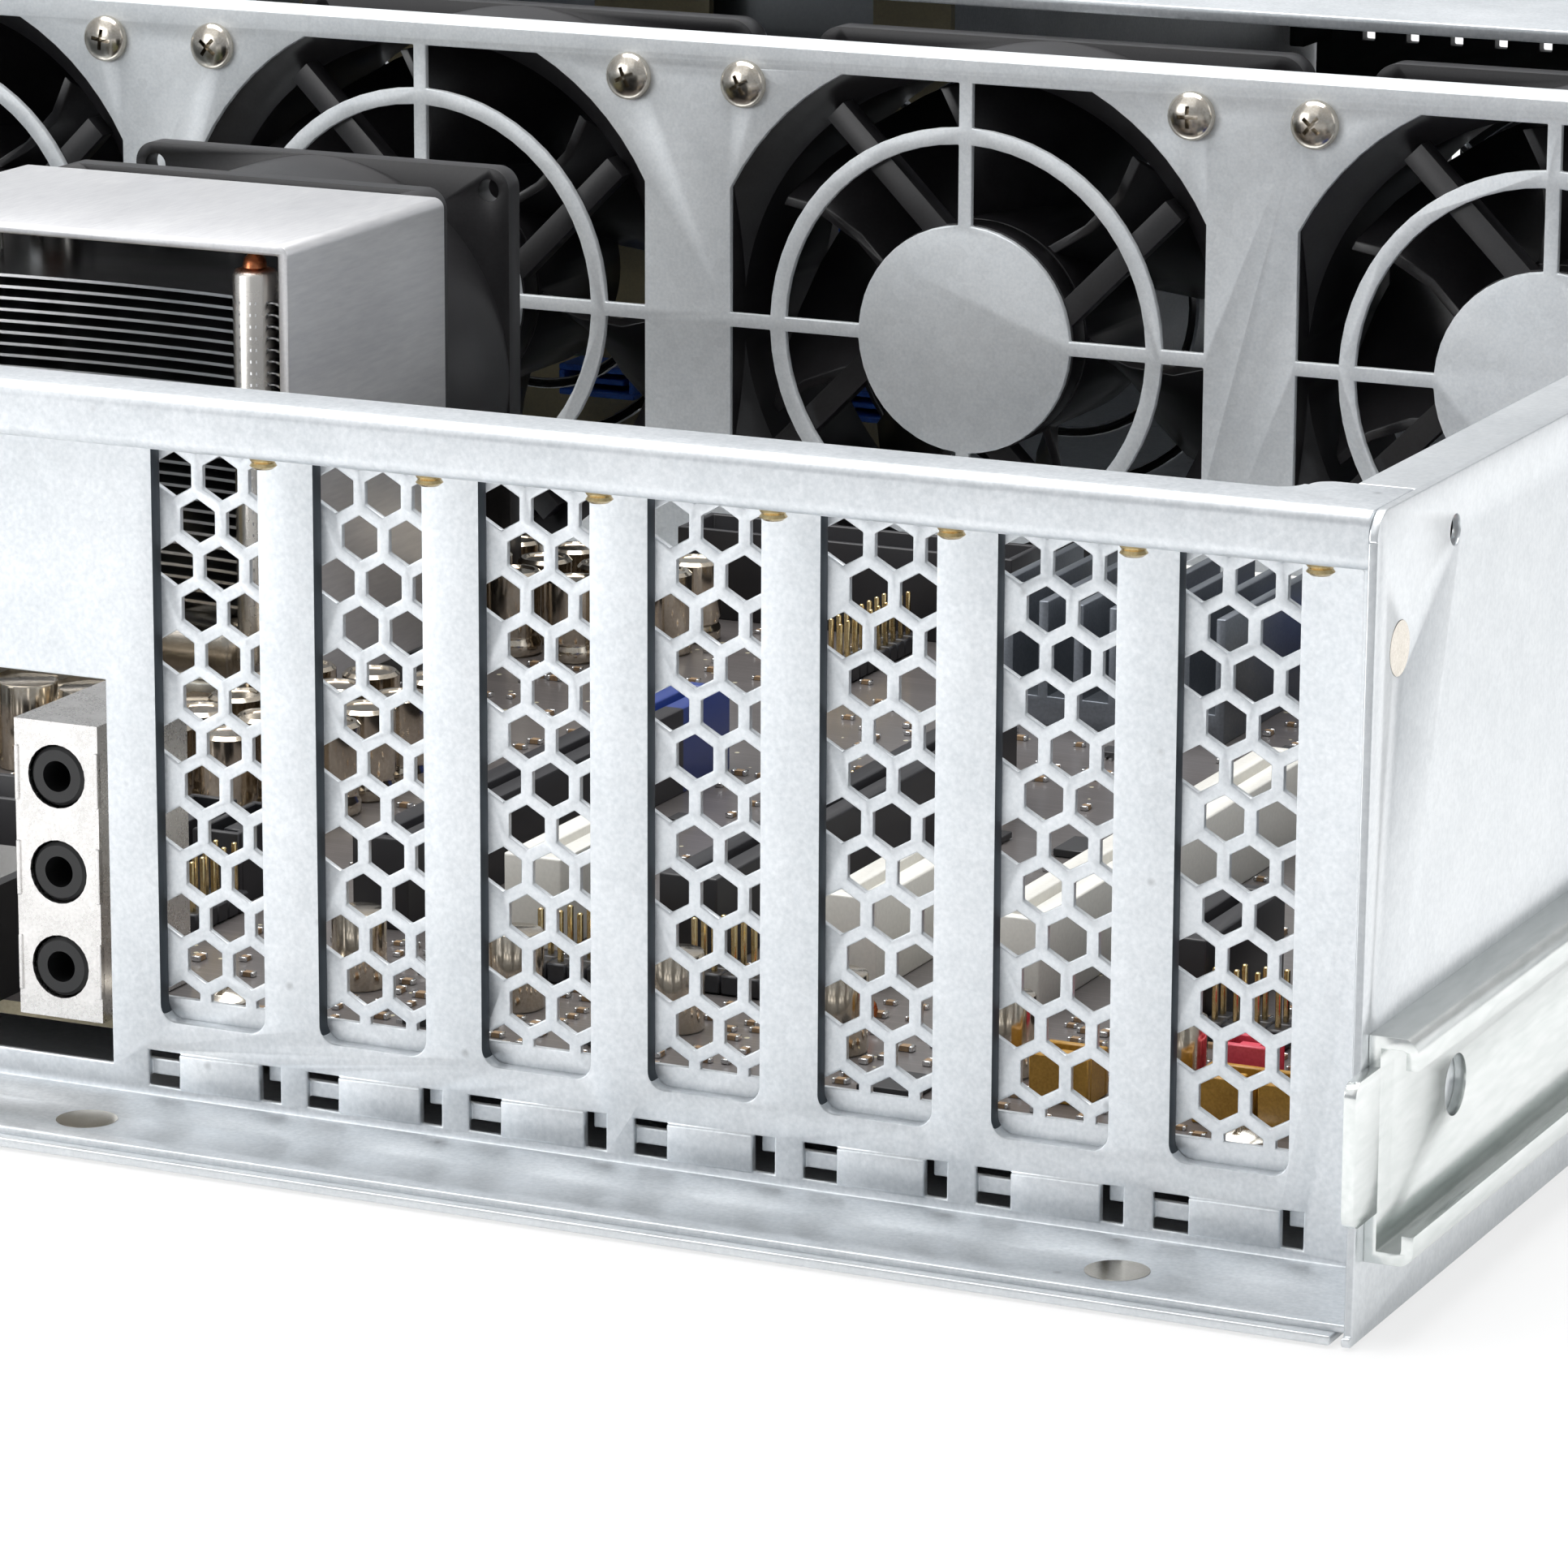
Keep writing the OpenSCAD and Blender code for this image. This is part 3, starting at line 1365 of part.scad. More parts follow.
module power_button() {
  color("lightgray") from_rear() translate([power_x, body_l - button_l + button_out, button_z])
    rod_y(power_r, button_l);
}

module reset_button() {
  color("lightgray") from_rear() translate([reset_x, body_l - button_l + button_out / 2, button_z])
    rod_y(reset_r, button_l);
}

module status_lights() {
  color("palegreen") from_rear() at_lights() rod_y(light_r, light_l + light_out);
}

// Fixed cover over the drive bays, lying on the side walls' flanges
module front_cover() {
  color("whitesmoke") from_rear() {
    translate([-half_w, lid_y, body_h]) cube([body_w, body_l - lid_y, lid_t]);
    translate([-inner_x + top_flange_w, lid_y, body_h - pan_t])
      cube([2 * (inner_x - top_flange_w), lid_lip, pan_t]);
  }
}

module rack_ears() {
  color("silver") from_rear() both_sides() {
    difference() {
      translate([half_w, body_l - ear_t, 0]) cube([ear_w / 2 - half_w, ear_t, body_h]);
      for (z = [-1, 1])
        translate([rack_hole_pitch / 2, body_l - ear_t - over, body_h / 2 + z * rack_hole_rise / 2])
          rod_y(rack_hole_d / 2, ear_t + 2 * over);
    }
    difference() {
      translate([half_w, body_l - ear_leg_l, 0]) cube([ear_leg_t, ear_leg_l, body_h]);
      for (share = ear_screw_shares) translate([half_w, body_l - ear_leg_l / 2, body_h * share])
        rotate([0, 90, 0]) cylinder(r1 = ear_screw_r, r2 = ear_screw_head_r, h = ear_leg_t);
    }
  }
}

// Bent bar in front of each ear
module handle() {
  reach = handle_out - handle_d / 2;
  rise = body_h - 2 * handle_foot;
  for (turn = [0, 1]) translate([0, 0, turn * rise]) mirror([0, 0, turn]) {
    rod_y(handle_d / 2, reach - handle_bend_r);
    translate([0, reach - handle_bend_r, handle_bend_r]) rotate([0, 90, 0])
      rotate_extrude(angle = 90) translate([handle_bend_r, 0]) circle(handle_d / 2);
  }
  translate([0, reach, handle_bend_r]) cylinder(r = handle_d / 2, h = rise - 2 * handle_bend_r);
}

module ear_handles() {
  color("white") from_rear() both_sides()
    translate([half_w + handle_x, body_l, handle_foot]) handle();
}

// Rolled section of a rail: a web on the side wall and two curled flanges
module rail_section() {
  difference() {
    translate([-rail_r, rail_z]) round_rect(rail_w + rail_r, rail_h, rail_r);
    translate([rail_t, rail_z + rail_t])
      round_rect(rail_w - 2 * rail_t, rail_h - 2 * rail_t, rail_r - rail_t);
    translate([rail_w - 2 * rail_t, rail_z + rail_lip]) square([3 * rail_t, rail_h - 2 * rail_lip]);
    translate([-2 * rail_r, rail_z - over]) square([2 * rail_r, rail_h + 2 * over]);
  }
}

module slide_rails() {
  color("silver") from_rear() both_sides() translate([half_w, 0, 0]) difference() {
    union() {
      translate([0, rail_l + rail_y, 0]) rotate([90, 0, 0]) linear_extrude(rail_l) rail_section();
      along_x(rail_t) translate([-tail_out, rail_z + rail_tab_z])
        round_rect(tail_out + rail_y + 2 * rail_r, rail_tab_h, rail_r);
    }
    for (i = [0 : rail_holes - 1])
      translate([-over, rail_hole_y + i * rail_hole_pitch, rail_z + rail_hole_z]) rotate([0, 90, 0])
        cylinder(r = rail_hole_r, h = rail_t + 2 * over);
  }
}

base_pan();
rear_panel();
slot_covers();
slot_screws();
chassis_screws();
io_shield();
io_ports();
motherboard();
board_standoffs();
expansion_slots();
memory_slots();
memory_modules();
board_connectors();
board_capacitors();
chipset_heatsink();
cpu_socket();
cooler_base();
cooler_heat_pipes();
cooler_fins();
cooler_duct();
cooler_fan_frame();
cooler_fan_rotor();
fan_wall();
fan_wall_screws();
case_fan_frame(0);  // fan_frame_1
case_fan_frame(1);  // fan_frame_2
case_fan_frame(2);  // fan_frame_3
case_fan_frame(3);  // fan_frame_4
case_fan_rotor(0);  // fan_rotor_1
case_fan_rotor(1);  // fan_rotor_2
case_fan_rotor(2);  // fan_rotor_3
case_fan_rotor(3);  // fan_rotor_4
fan_guards();
psu_case();
psu_fan_frame();
psu_fan_rotor();
drive_cage();
drive_backplane();
drive_tray(0);  // drive_tray_1
drive_tray(1);  // drive_tray_2
drive_tray(2);  // drive_tray_3
drive_tray(3);  // drive_tray_4
drive_tray(4);  // drive_tray_5
drive_tray(5);  // drive_tray_6
tray_lever(0);  // tray_lever_1
tray_lever(1);  // tray_lever_2
tray_lever(2);  // tray_lever_3
tray_lever(3);  // tray_lever_4
tray_lever(4);  // tray_lever_5
tray_lever(5);  // tray_lever_6
bay_blanks();
front_panel();
control_panel();
power_button();
reset_button();
status_lights();
front_cover();
rack_ears();
ear_handles();
slide_rails();
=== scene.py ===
# Looks of the rackmount server case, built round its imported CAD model
import json
import math
import random

import bmesh
import bpy
from mathutils import Matrix, Vector

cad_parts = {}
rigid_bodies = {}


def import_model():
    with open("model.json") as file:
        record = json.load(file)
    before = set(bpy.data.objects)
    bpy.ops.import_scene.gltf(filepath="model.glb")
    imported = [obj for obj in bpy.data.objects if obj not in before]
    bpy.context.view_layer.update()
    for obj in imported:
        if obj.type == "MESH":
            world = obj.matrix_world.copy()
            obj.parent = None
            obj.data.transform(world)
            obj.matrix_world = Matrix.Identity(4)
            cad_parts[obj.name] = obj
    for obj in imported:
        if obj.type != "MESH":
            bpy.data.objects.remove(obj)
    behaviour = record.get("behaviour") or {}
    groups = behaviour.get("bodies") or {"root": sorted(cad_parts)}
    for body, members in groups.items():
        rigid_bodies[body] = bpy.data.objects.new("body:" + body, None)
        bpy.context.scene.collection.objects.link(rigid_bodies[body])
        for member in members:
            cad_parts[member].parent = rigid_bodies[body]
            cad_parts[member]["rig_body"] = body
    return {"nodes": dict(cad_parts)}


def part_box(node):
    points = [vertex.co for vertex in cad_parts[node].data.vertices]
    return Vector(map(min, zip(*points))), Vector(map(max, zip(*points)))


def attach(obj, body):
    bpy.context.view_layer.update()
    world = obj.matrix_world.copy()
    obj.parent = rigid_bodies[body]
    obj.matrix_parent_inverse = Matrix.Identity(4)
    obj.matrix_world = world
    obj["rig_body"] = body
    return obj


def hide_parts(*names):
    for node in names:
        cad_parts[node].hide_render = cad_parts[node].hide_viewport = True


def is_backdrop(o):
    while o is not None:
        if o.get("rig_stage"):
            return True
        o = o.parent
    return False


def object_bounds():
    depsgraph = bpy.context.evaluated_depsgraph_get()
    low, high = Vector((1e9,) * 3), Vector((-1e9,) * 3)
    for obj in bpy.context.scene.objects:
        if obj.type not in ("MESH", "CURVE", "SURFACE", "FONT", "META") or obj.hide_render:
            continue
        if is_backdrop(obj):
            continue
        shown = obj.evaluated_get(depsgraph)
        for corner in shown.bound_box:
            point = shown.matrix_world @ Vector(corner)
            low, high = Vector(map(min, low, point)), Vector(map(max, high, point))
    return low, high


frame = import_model()
cadLow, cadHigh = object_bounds()
nodes = frame["nodes"]
mm = 0.001
tailOut = 23  # how far the rails' tabs reach out behind the rear panel, in millimetres
rearY = cadLow[1] + tailOut * mm  # outer face of the rear panel
print("frame loaded:", len(nodes), "CAD nodes")


def srgb(hexValue):  # sRGB hex to the linear colour that the shaders take
    parts = [int(hexValue[i:i + 2], 16) / 255 for i in (1, 3, 5)]
    return [c / 12.92 if c <= 0.04045 else ((c + 0.055) / 1.055) ** 2.4 for c in parts] + [1.0]


def addNode(tree, kind, settings=None, links=None):
    node = tree.nodes.new(kind)
    for name, value in (settings or {}).items():
        if isinstance(name, str) and name[0].islower():
            setattr(node, name, value)
        else:
            node.inputs[name].default_value = value
    for name, source in (links or {}).items():
        tree.links.new(source, node.inputs[name])
    return node


def perMetre(sizeInMm):  # texture scale that gives features of this size
    return 1000.0 / sizeInMm


# Materials

def startMaterial(name, colour, roughness, metallic=0.0, **sockets):
    material = bpy.data.materials.new(name)
    material.use_nodes = True
    tree = material.node_tree
    shader = tree.nodes["Principled BSDF"]
    shader.inputs["Base Color"].default_value = srgb(colour)
    shader.inputs["Roughness"].default_value = roughness
    shader.inputs["Metallic"].default_value = metallic
    for socket, value in sockets.items():
        shader.inputs[socket.replace("_", " ")].default_value = value
    coords = addNode(tree, "ShaderNodeTexCoord").outputs["Object"]
    return material, tree, shader, coords


def grained(name, look):
    # Base for sheet metal, mouldings and paint: cloudy tone, fine grain and a little relief
    material, tree, shader, coords = startMaterial(
        name, look["colour"], look["roughness"], look.get("metallic", 0.0), **look.get("sockets", {}))
    stretch = addNode(tree, "ShaderNodeMapping", {"Scale": look.get("stretch", (1, 1, 1))},
                      {"Vector": coords}).outputs["Vector"]
    cloud = addNode(tree, "ShaderNodeTexNoise", {"Scale": perMetre(look["cloudSize"]), "Detail": 3.0,
                                                 "Roughness": 0.6}, {"Vector": stretch})
    grain = addNode(tree, "ShaderNodeTexNoise", {"Scale": perMetre(look["grainSize"]), "Detail": 2.0},
                    {"Vector": stretch})
    both = addNode(tree, "ShaderNodeMix", {"data_type": "FLOAT", 0: look.get("grainShare", 0.5)},
                   {2: cloud.outputs["Fac"], 3: grain.outputs["Fac"]}).outputs[0]
    spread = addNode(tree, "ShaderNodeMapRange", {"From Min": 0.3, "From Max": 0.7}, {"Value": both})
    tone = addNode(tree, "ShaderNodeMix", {"data_type": "RGBA", 6: srgb(look["dark"]), 7: srgb(look["light"])},
                   {0: spread.outputs["Result"]})
    colour = tone.outputs[2]
    if "spangle" in look:  # crystals of the zinc, each with its own tone
        cells = addNode(tree, "ShaderNodeTexVoronoi", {"Scale": perMetre(look["spangle"]), "Randomness": 1.0},
                        {"Vector": coords})
        value = addNode(tree, "ShaderNodeSeparateColor", {}, {"Color": cells.outputs["Color"]}).outputs[0]
        lift = addNode(tree, "ShaderNodeMapRange",
                       {"To Min": 1 - look["spangleTone"], "To Max": 1 + look["spangleTone"]},
                       {"Value": value}).outputs["Result"]
        scaled = addNode(tree, "ShaderNodeVectorMath", {"operation": "SCALE"},
                         {0: colour, "Scale": lift})
        colour = scaled.outputs["Vector"]
    if "specks" in look:  # sparse darker specks, such as handling marks
        dots = addNode(tree, "ShaderNodeTexVoronoi", {"Scale": perMetre(look["specks"]), "Randomness": 1.0},
                       {"Vector": coords})
        near = addNode(tree, "ShaderNodeMapRange", {"From Min": 0.02, "From Max": 0.07, "To Min": 0.72, "To Max": 1.0},
                       {"Value": dots.outputs["Distance"]}).outputs["Result"]
        colour = addNode(tree, "ShaderNodeVectorMath", {"operation": "SCALE"},
                         {0: colour, "Scale": near}).outputs["Vector"]
    tree.links.new(colour, shader.inputs["Base Color"])
    middle, swing = look["roughness"], look["roughSpread"]
    rough = addNode(tree, "ShaderNodeMapRange", {"To Min": middle - swing, "To Max": middle + swing}, {"Value": both})
    tree.links.new(rough.outputs["Result"], shader.inputs["Roughness"])
    bump = addNode(tree, "ShaderNodeBump", {"Strength": 0.5, "Distance": look["relief"] * mm},
                   {"Height": grain.outputs["Fac"]})
    tree.links.new(bump.outputs["Normal"], shader.inputs["Normal"])
    return material


finishes = {
    # floor and side walls: the same sheet as below, skin-passed smoother, so that it mirrors softly
    "panSheet": {"colour": "#D9DCDE", "dark": "#D0D4D7", "light": "#E3E6E8", "roughness": 0.3, "roughSpread": 0.05,
                 "metallic": 0.72, "cloudSize": 16, "grainSize": 0.6, "grainShare": 0.5, "spangle": 1.8,
                 "spangleTone": 0.02, "relief": 0.006},
    # hot-dip galvanised and skin-passed sheet: pale bluish grey, satin, fine grain with faint crystals
    "galvanisedSheet": {"colour": "#D5D9DC", "dark": "#C9CED2", "light": "#E1E4E7",
                        "roughness": 0.42, "roughSpread": 0.06,
                        "metallic": 0.82, "cloudSize": 14, "grainSize": 0.55, "grainShare": 0.6, "spangle": 1.6,
                        "spangleTone": 0.025, "relief": 0.012, "specks": 9},
    # the same sheet, rolled duller, with a lighter colour as painted light on the dim wall: the fan wall behind the
    # board
    "galvanisedWall": {"colour": "#E2E6E9", "dark": "#D8DDE1", "light": "#ECEFF1",
                       "roughness": 0.5, "roughSpread": 0.05,
                       "metallic": 0.35, "cloudSize": 12, "grainSize": 0.5, "grainShare": 0.6, "spangle": 1.4,
                       "spangleTone": 0.03, "relief": 0.012},
    # zinc-plated and blue-passivated rail: bright, with a cool and slightly green cast
    "zincPlatedRail": {"colour": "#DADDDC", "dark": "#D0D5D3", "light": "#E8EAE9",
                       "roughness": 0.24, "roughSpread": 0.05,
                       "metallic": 0.95, "cloudSize": 18, "grainSize": 0.8, "stretch": (1, 0.15, 1), "relief": 0.006},
    # cold-rolled aluminium of the duct, long faint rolling lines
    "rolledAluminium": {"colour": "#E4E4E6", "dark": "#DADADD", "light": "#EEEEEF",
                        "roughness": 0.36, "roughSpread": 0.05,
                        "metallic": 0.8, "cloudSize": 10, "grainSize": 0.5, "stretch": (1, 0.12, 1), "relief": 0.008},
    # thin bright fin stock
    "finAluminium": {"colour": "#E4E5E7", "dark": "#D6D7DA", "light": "#F0F0F1", "roughness": 0.2, "roughSpread": 0.04,
                     "metallic": 1.0, "cloudSize": 8, "grainSize": 0.5, "relief": 0.003},
    # anodised heat sink, satin grey
    "anodisedAluminium": {"colour": "#7A7F86", "dark": "#70757C", "light": "#868B92",
                          "roughness": 0.4, "roughSpread": 0.05,
                          "metallic": 0.9, "cloudSize": 8, "grainSize": 0.4, "relief": 0.005},
    # solid capacitors' cans: nickel-plated aluminium, warm and almost mirror bright
    "capacitorCan": {"colour": "#D9CDBB", "dark": "#CBBEAA", "light": "#E6DCCD", "roughness": 0.14, "roughSpread": 0.04,
                     "metallic": 1.0, "cloudSize": 4, "grainSize": 0.4, "relief": 0.002},
    # nickel-plated steel: warm and bright, for screws and port shells
    "nickelPlate": {"colour": "#CFC8BC", "dark": "#C2BAAD", "light": "#DED8CE", "roughness": 0.2, "roughSpread": 0.05,
                    "metallic": 1.0, "cloudSize": 2.5, "grainSize": 0.3, "relief": 0.003},
    # yellow-passivated zinc on the slot screws
    "yellowPassivate": {"colour": "#C9AE7A", "dark": "#B9995F", "light": "#D9C79C",
                        "roughness": 0.24, "roughSpread": 0.06,
                        "metallic": 1.0, "cloudSize": 2.0, "grainSize": 0.3, "relief": 0.003},
    # gold flash on header pins
    "goldFlash": {"colour": "#E0C68A", "dark": "#CFB06C", "light": "#EBD9AE", "roughness": 0.2, "roughSpread": 0.04,
                  "metallic": 1.0, "cloudSize": 3, "grainSize": 0.4, "relief": 0.001},
    # reflowed tin on the ends of chips and on leads
    "tinnedLead": {"colour": "#DEDFDF", "dark": "#CDCECE", "light": "#EDEDED", "roughness": 0.22, "roughSpread": 0.06,
                   "metallic": 1.0, "cloudSize": 2, "grainSize": 0.3, "relief": 0.002},
    # epoxy mould compound of the chips
    "mouldCompound": {"colour": "#232325", "dark": "#1C1C1E", "light": "#2B2B2D", "roughness": 0.5, "roughSpread": 0.05,
                      "cloudSize": 3, "grainSize": 0.2, "relief": 0.006, "sockets": {"IOR": 1.55}},
    # brown ceramic of the small capacitors
    "ceramicChip": {"colour": "#8C7256", "dark": "#7A6148", "light": "#9E8567", "roughness": 0.45, "roughSpread": 0.05,
                    "cloudSize": 2, "grainSize": 0.3, "relief": 0.002},
    # glass-filled nylon plugs, in the colours that tell them apart
    "redNylon": {"colour": "#C43A4C", "dark": "#B43041", "light": "#D04D5E", "roughness": 0.36, "roughSpread": 0.05,
                 "cloudSize": 4, "grainSize": 0.3, "relief": 0.004, "sockets": {"IOR": 1.53}},
    "blueNylon": {"colour": "#1F4FA8", "dark": "#1A4292", "light": "#2C60BC", "roughness": 0.36, "roughSpread": 0.05,
                  "cloudSize": 4, "grainSize": 0.3, "relief": 0.004, "sockets": {"IOR": 1.53}},
    "ochreNylon": {"colour": "#A07626", "dark": "#8C651D", "light": "#B68A38", "roughness": 0.34, "roughSpread": 0.05,
                   "cloudSize": 4, "grainSize": 0.3, "relief": 0.004, "sockets": {"IOR": 1.53}},
    # enamelled copper of the coils
    "enamelledCopper": {"colour": "#C0703F", "dark": "#A85C30", "light": "#D58A5A",
                        "roughness": 0.24, "roughSpread": 0.05,
                        "metallic": 1.0, "cloudSize": 2, "grainSize": 0.3, "relief": 0.002},
    # tin plate of the jack shell
    "tinPlate": {"colour": "#D9D7D5", "dark": "#CBC9C7", "light": "#E8E6E4", "roughness": 0.28, "roughSpread": 0.06,
                 "metallic": 0.95, "cloudSize": 3, "grainSize": 0.4, "relief": 0.006},
    # chrome-plated wire: mirror bright with soft waviness
    "chromedWire": {"colour": "#E3E5E8", "dark": "#DADCDF", "light": "#EDEEF0", "roughness": 0.08, "roughSpread": 0.02,
                    "metallic": 1.0, "cloudSize": 5, "grainSize": 1.0, "relief": 0.004},
    # glass-filled PBT of the fan frames: near black, fine moulded texture and a soft sheen
    "mouldedPbt": {"colour": "#1D1C1E", "dark": "#171618", "light": "#252426", "roughness": 0.38, "roughSpread": 0.05,
                   "cloudSize": 9, "grainSize": 0.35, "relief": 0.01, "sockets": {"IOR": 1.55}},
    # the rotors are moulded smoother and show a softer, paler sheen
    "rotorPbt": {"colour": "#212022", "dark": "#1A191B", "light": "#2C2B2D", "roughness": 0.3, "roughSpread": 0.04,
                 "cloudSize": 7, "grainSize": 0.4, "relief": 0.006, "sockets": {"IOR": 1.55}},
    # ABS of bezels and blanks, spark-eroded mould texture
    "mouldedAbs": {"colour": "#232325", "dark": "#1D1D1F", "light": "#2B2B2D", "roughness": 0.52, "roughSpread": 0.05,
                   "cloudSize": 10, "grainSize": 0.4, "relief": 0.02, "sockets": {"IOR": 1.54}},
    # lighter ABS of the levers and buttons
    "greyAbs": {"colour": "#6C6F74", "dark": "#64676C", "light": "#767A7F", "roughness": 0.45, "roughSpread": 0.05,
                "cloudSize": 8, "grainSize": 0.4, "relief": 0.015, "sockets": {"IOR": 1.54}},
    # fine-texture powder coat on the front's steel
    "powderCoat": {"colour": "#202124", "dark": "#1A1B1D", "light": "#292A2D", "roughness": 0.55, "roughSpread": 0.06,
                   "cloudSize": 12, "grainSize": 0.3, "relief": 0.03, "sockets": {"IOR": 1.5}},
    # nylon of the card and memory sockets
    "blackNylon": {"colour": "#1E1E22", "dark": "#18181B", "light": "#26262B", "roughness": 0.42, "roughSpread": 0.05,
                   "cloudSize": 6, "grainSize": 0.4, "relief": 0.008, "sockets": {"IOR": 1.53}},
    # plated socket frame round the processor
    "socketPlate": {"colour": "#B9B8B2", "dark": "#ABAAA4", "light": "#C9C8C2", "roughness": 0.3, "roughSpread": 0.05,
                    "metallic": 0.95, "cloudSize": 6, "grainSize": 0.5, "relief": 0.005},
    # clear lens of the status lights
    "lightLens": {"colour": "#A9D8B0", "dark": "#9ACBA2", "light": "#BCE4C2", "roughness": 0.12, "roughSpread": 0.02,
                  "cloudSize": 2, "grainSize": 0.4, "relief": 0.001,
                  "sockets": {"IOR": 1.49, "Transmission_Weight": 0.5}},
}
materials = {name: grained(name, look) for name, look in finishes.items()}


def insideBox(tree, coords, low, high):  # 1 inside a box given by its corners in millimetres
    split = addNode(tree, "ShaderNodeSeparateXYZ", {}, {"Vector": coords})
    result = None
    for axis, lowest, highest in zip("XYZ", low, high):
        middle, half = (lowest + highest) / 2 * mm, (highest - lowest) / 2 * mm
        near = addNode(tree, "ShaderNodeMath", {"operation": "COMPARE", 1: middle, 2: half}, {0: split.outputs[axis]})
        result = near.outputs[0] if result is None else addNode(
            tree, "ShaderNodeMath", {"operation": "MULTIPLY"}, {0: result, 1: near.outputs[0]}).outputs[0]
    return result


def circuitBoard(name, mask, copper, edge):
    # Glass-epoxy laminate under a glossy solder mask, with tracks drawn 0.9 mm apart so that they show
    material, tree, shader, coords = startMaterial(name, mask, 0.3, Coat_Weight=0.3, Coat_Roughness=0.15, IOR=1.5)
    bricks = addNode(tree, "ShaderNodeTexBrick", {
        "Scale": 1.0, "Color1": srgb(mask), "Color2": srgb(copper), "Mortar": srgb(mask), "Mortar Size": 0.0002,
        "Brick Width": 0.011, "Row Height": 0.0009, "Bias": -0.2, "offset": 0.37, "squash": 1.6}, {"Vector": coords})
    pads = addNode(tree, "ShaderNodeTexVoronoi", {"Scale": perMetre(3.2), "Randomness": 0.8}, {"Vector": coords})
    dot = addNode(tree, "ShaderNodeMath", {"operation": "LESS_THAN", 1: 0.11}, {0: pads.outputs["Distance"]})
    printed = addNode(tree, "ShaderNodeMix", {"data_type": "RGBA", 7: srgb("#B8B29A")},
                      {0: dot.outputs[0], 6: bricks.outputs["Color"]})
    normal = addNode(tree, "ShaderNodeSeparateXYZ", {}, {
        "Vector": addNode(tree, "ShaderNodeNewGeometry").outputs["Normal"]})
    flat = addNode(tree, "ShaderNodeMath", {"operation": "GREATER_THAN", 1: 0.5}, {
        0: addNode(tree, "ShaderNodeMath", {"operation": "ABSOLUTE"}, {0: normal.outputs["Z"]}).outputs[0]})
    fibre = addNode(tree, "ShaderNodeTexNoise", {"Scale": perMetre(0.4)}, {"Vector": coords})
    cut = addNode(tree, "ShaderNodeMix", {"data_type": "RGBA", 6: srgb(edge), 7: srgb("#8F866C")},
                  {0: fibre.outputs["Fac"]})
    whole = addNode(tree, "ShaderNodeMix", {"data_type": "RGBA"},
                    {0: flat.outputs[0], 6: cut.outputs[2], 7: printed.outputs[2]})
    tree.links.new(whole.outputs[2], shader.inputs["Base Color"])
    rough = addNode(tree, "ShaderNodeMapRange", {"To Min": 0.65, "To Max": 0.3}, {"Value": flat.outputs[0]})
    tree.links.new(rough.outputs["Result"], shader.inputs["Roughness"])
    return material


materials["boardLaminate"] = circuitBoard("boardLaminate", "#5A5655", "#676261", "#B3A78A")
materials["greenLaminate"] = circuitBoard("greenLaminate", "#1B4A2C", "#26613A", "#A89C78")


def copperPipe(name):
    # Copper heat pipe: pale silver below its shoulder and whitest just under it, a painted reflection and highlight of
    # the duct's white top; copper at its sealed tip, with a darker band across it
    material, tree, shader, coords = startMaterial(name, "#B9714A", 0.22, 1.0)
    height = addNode(tree, "ShaderNodeSeparateXYZ", {}, {"Vector": coords}).outputs["Z"]
    ramp = addNode(tree, "ShaderNodeMapRange", {"From Min": 0.062, "From Max": 0.0735}, {"Value": height})
    copperWithPaintedReflection = addNode(tree, "ShaderNodeValToRGB", {}, {"Fac": ramp.outputs["Result"]})
    stops = copperWithPaintedReflection.color_ramp
    stops.interpolation = "LINEAR"
    # the pale stops up to the shoulder are painted reflection and highlight, the copper stops above it the tip's own
    # colour
    stops.elements[0].position, stops.elements[0].color = 0.0, srgb("#D2CEC8")
    stops.elements[1].position, stops.elements[1].color = 1.0, srgb("#C98A5E")
    for position, colour in ((0.1, "#D8D4CE"), (0.74, "#E6E2DC"), (0.79, "#C98059"), (0.9, "#A5603F")):
        stops.elements.new(position).color = srgb(colour)
    tree.links.new(copperWithPaintedReflection.outputs["Color"], shader.inputs["Base Color"])
    wear = addNode(tree, "ShaderNodeTexNoise", {"Scale": perMetre(2.5), "Detail": 4.0}, {"Vector": coords})
    rough = addNode(tree, "ShaderNodeMapRange", {"To Min": 0.15, "To Max": 0.36}, {"Value": wear.outputs["Fac"]})
    tree.links.new(rough.outputs["Result"], shader.inputs["Roughness"])
    return material


materials["copperPipe"] = copperPipe("copperPipe")


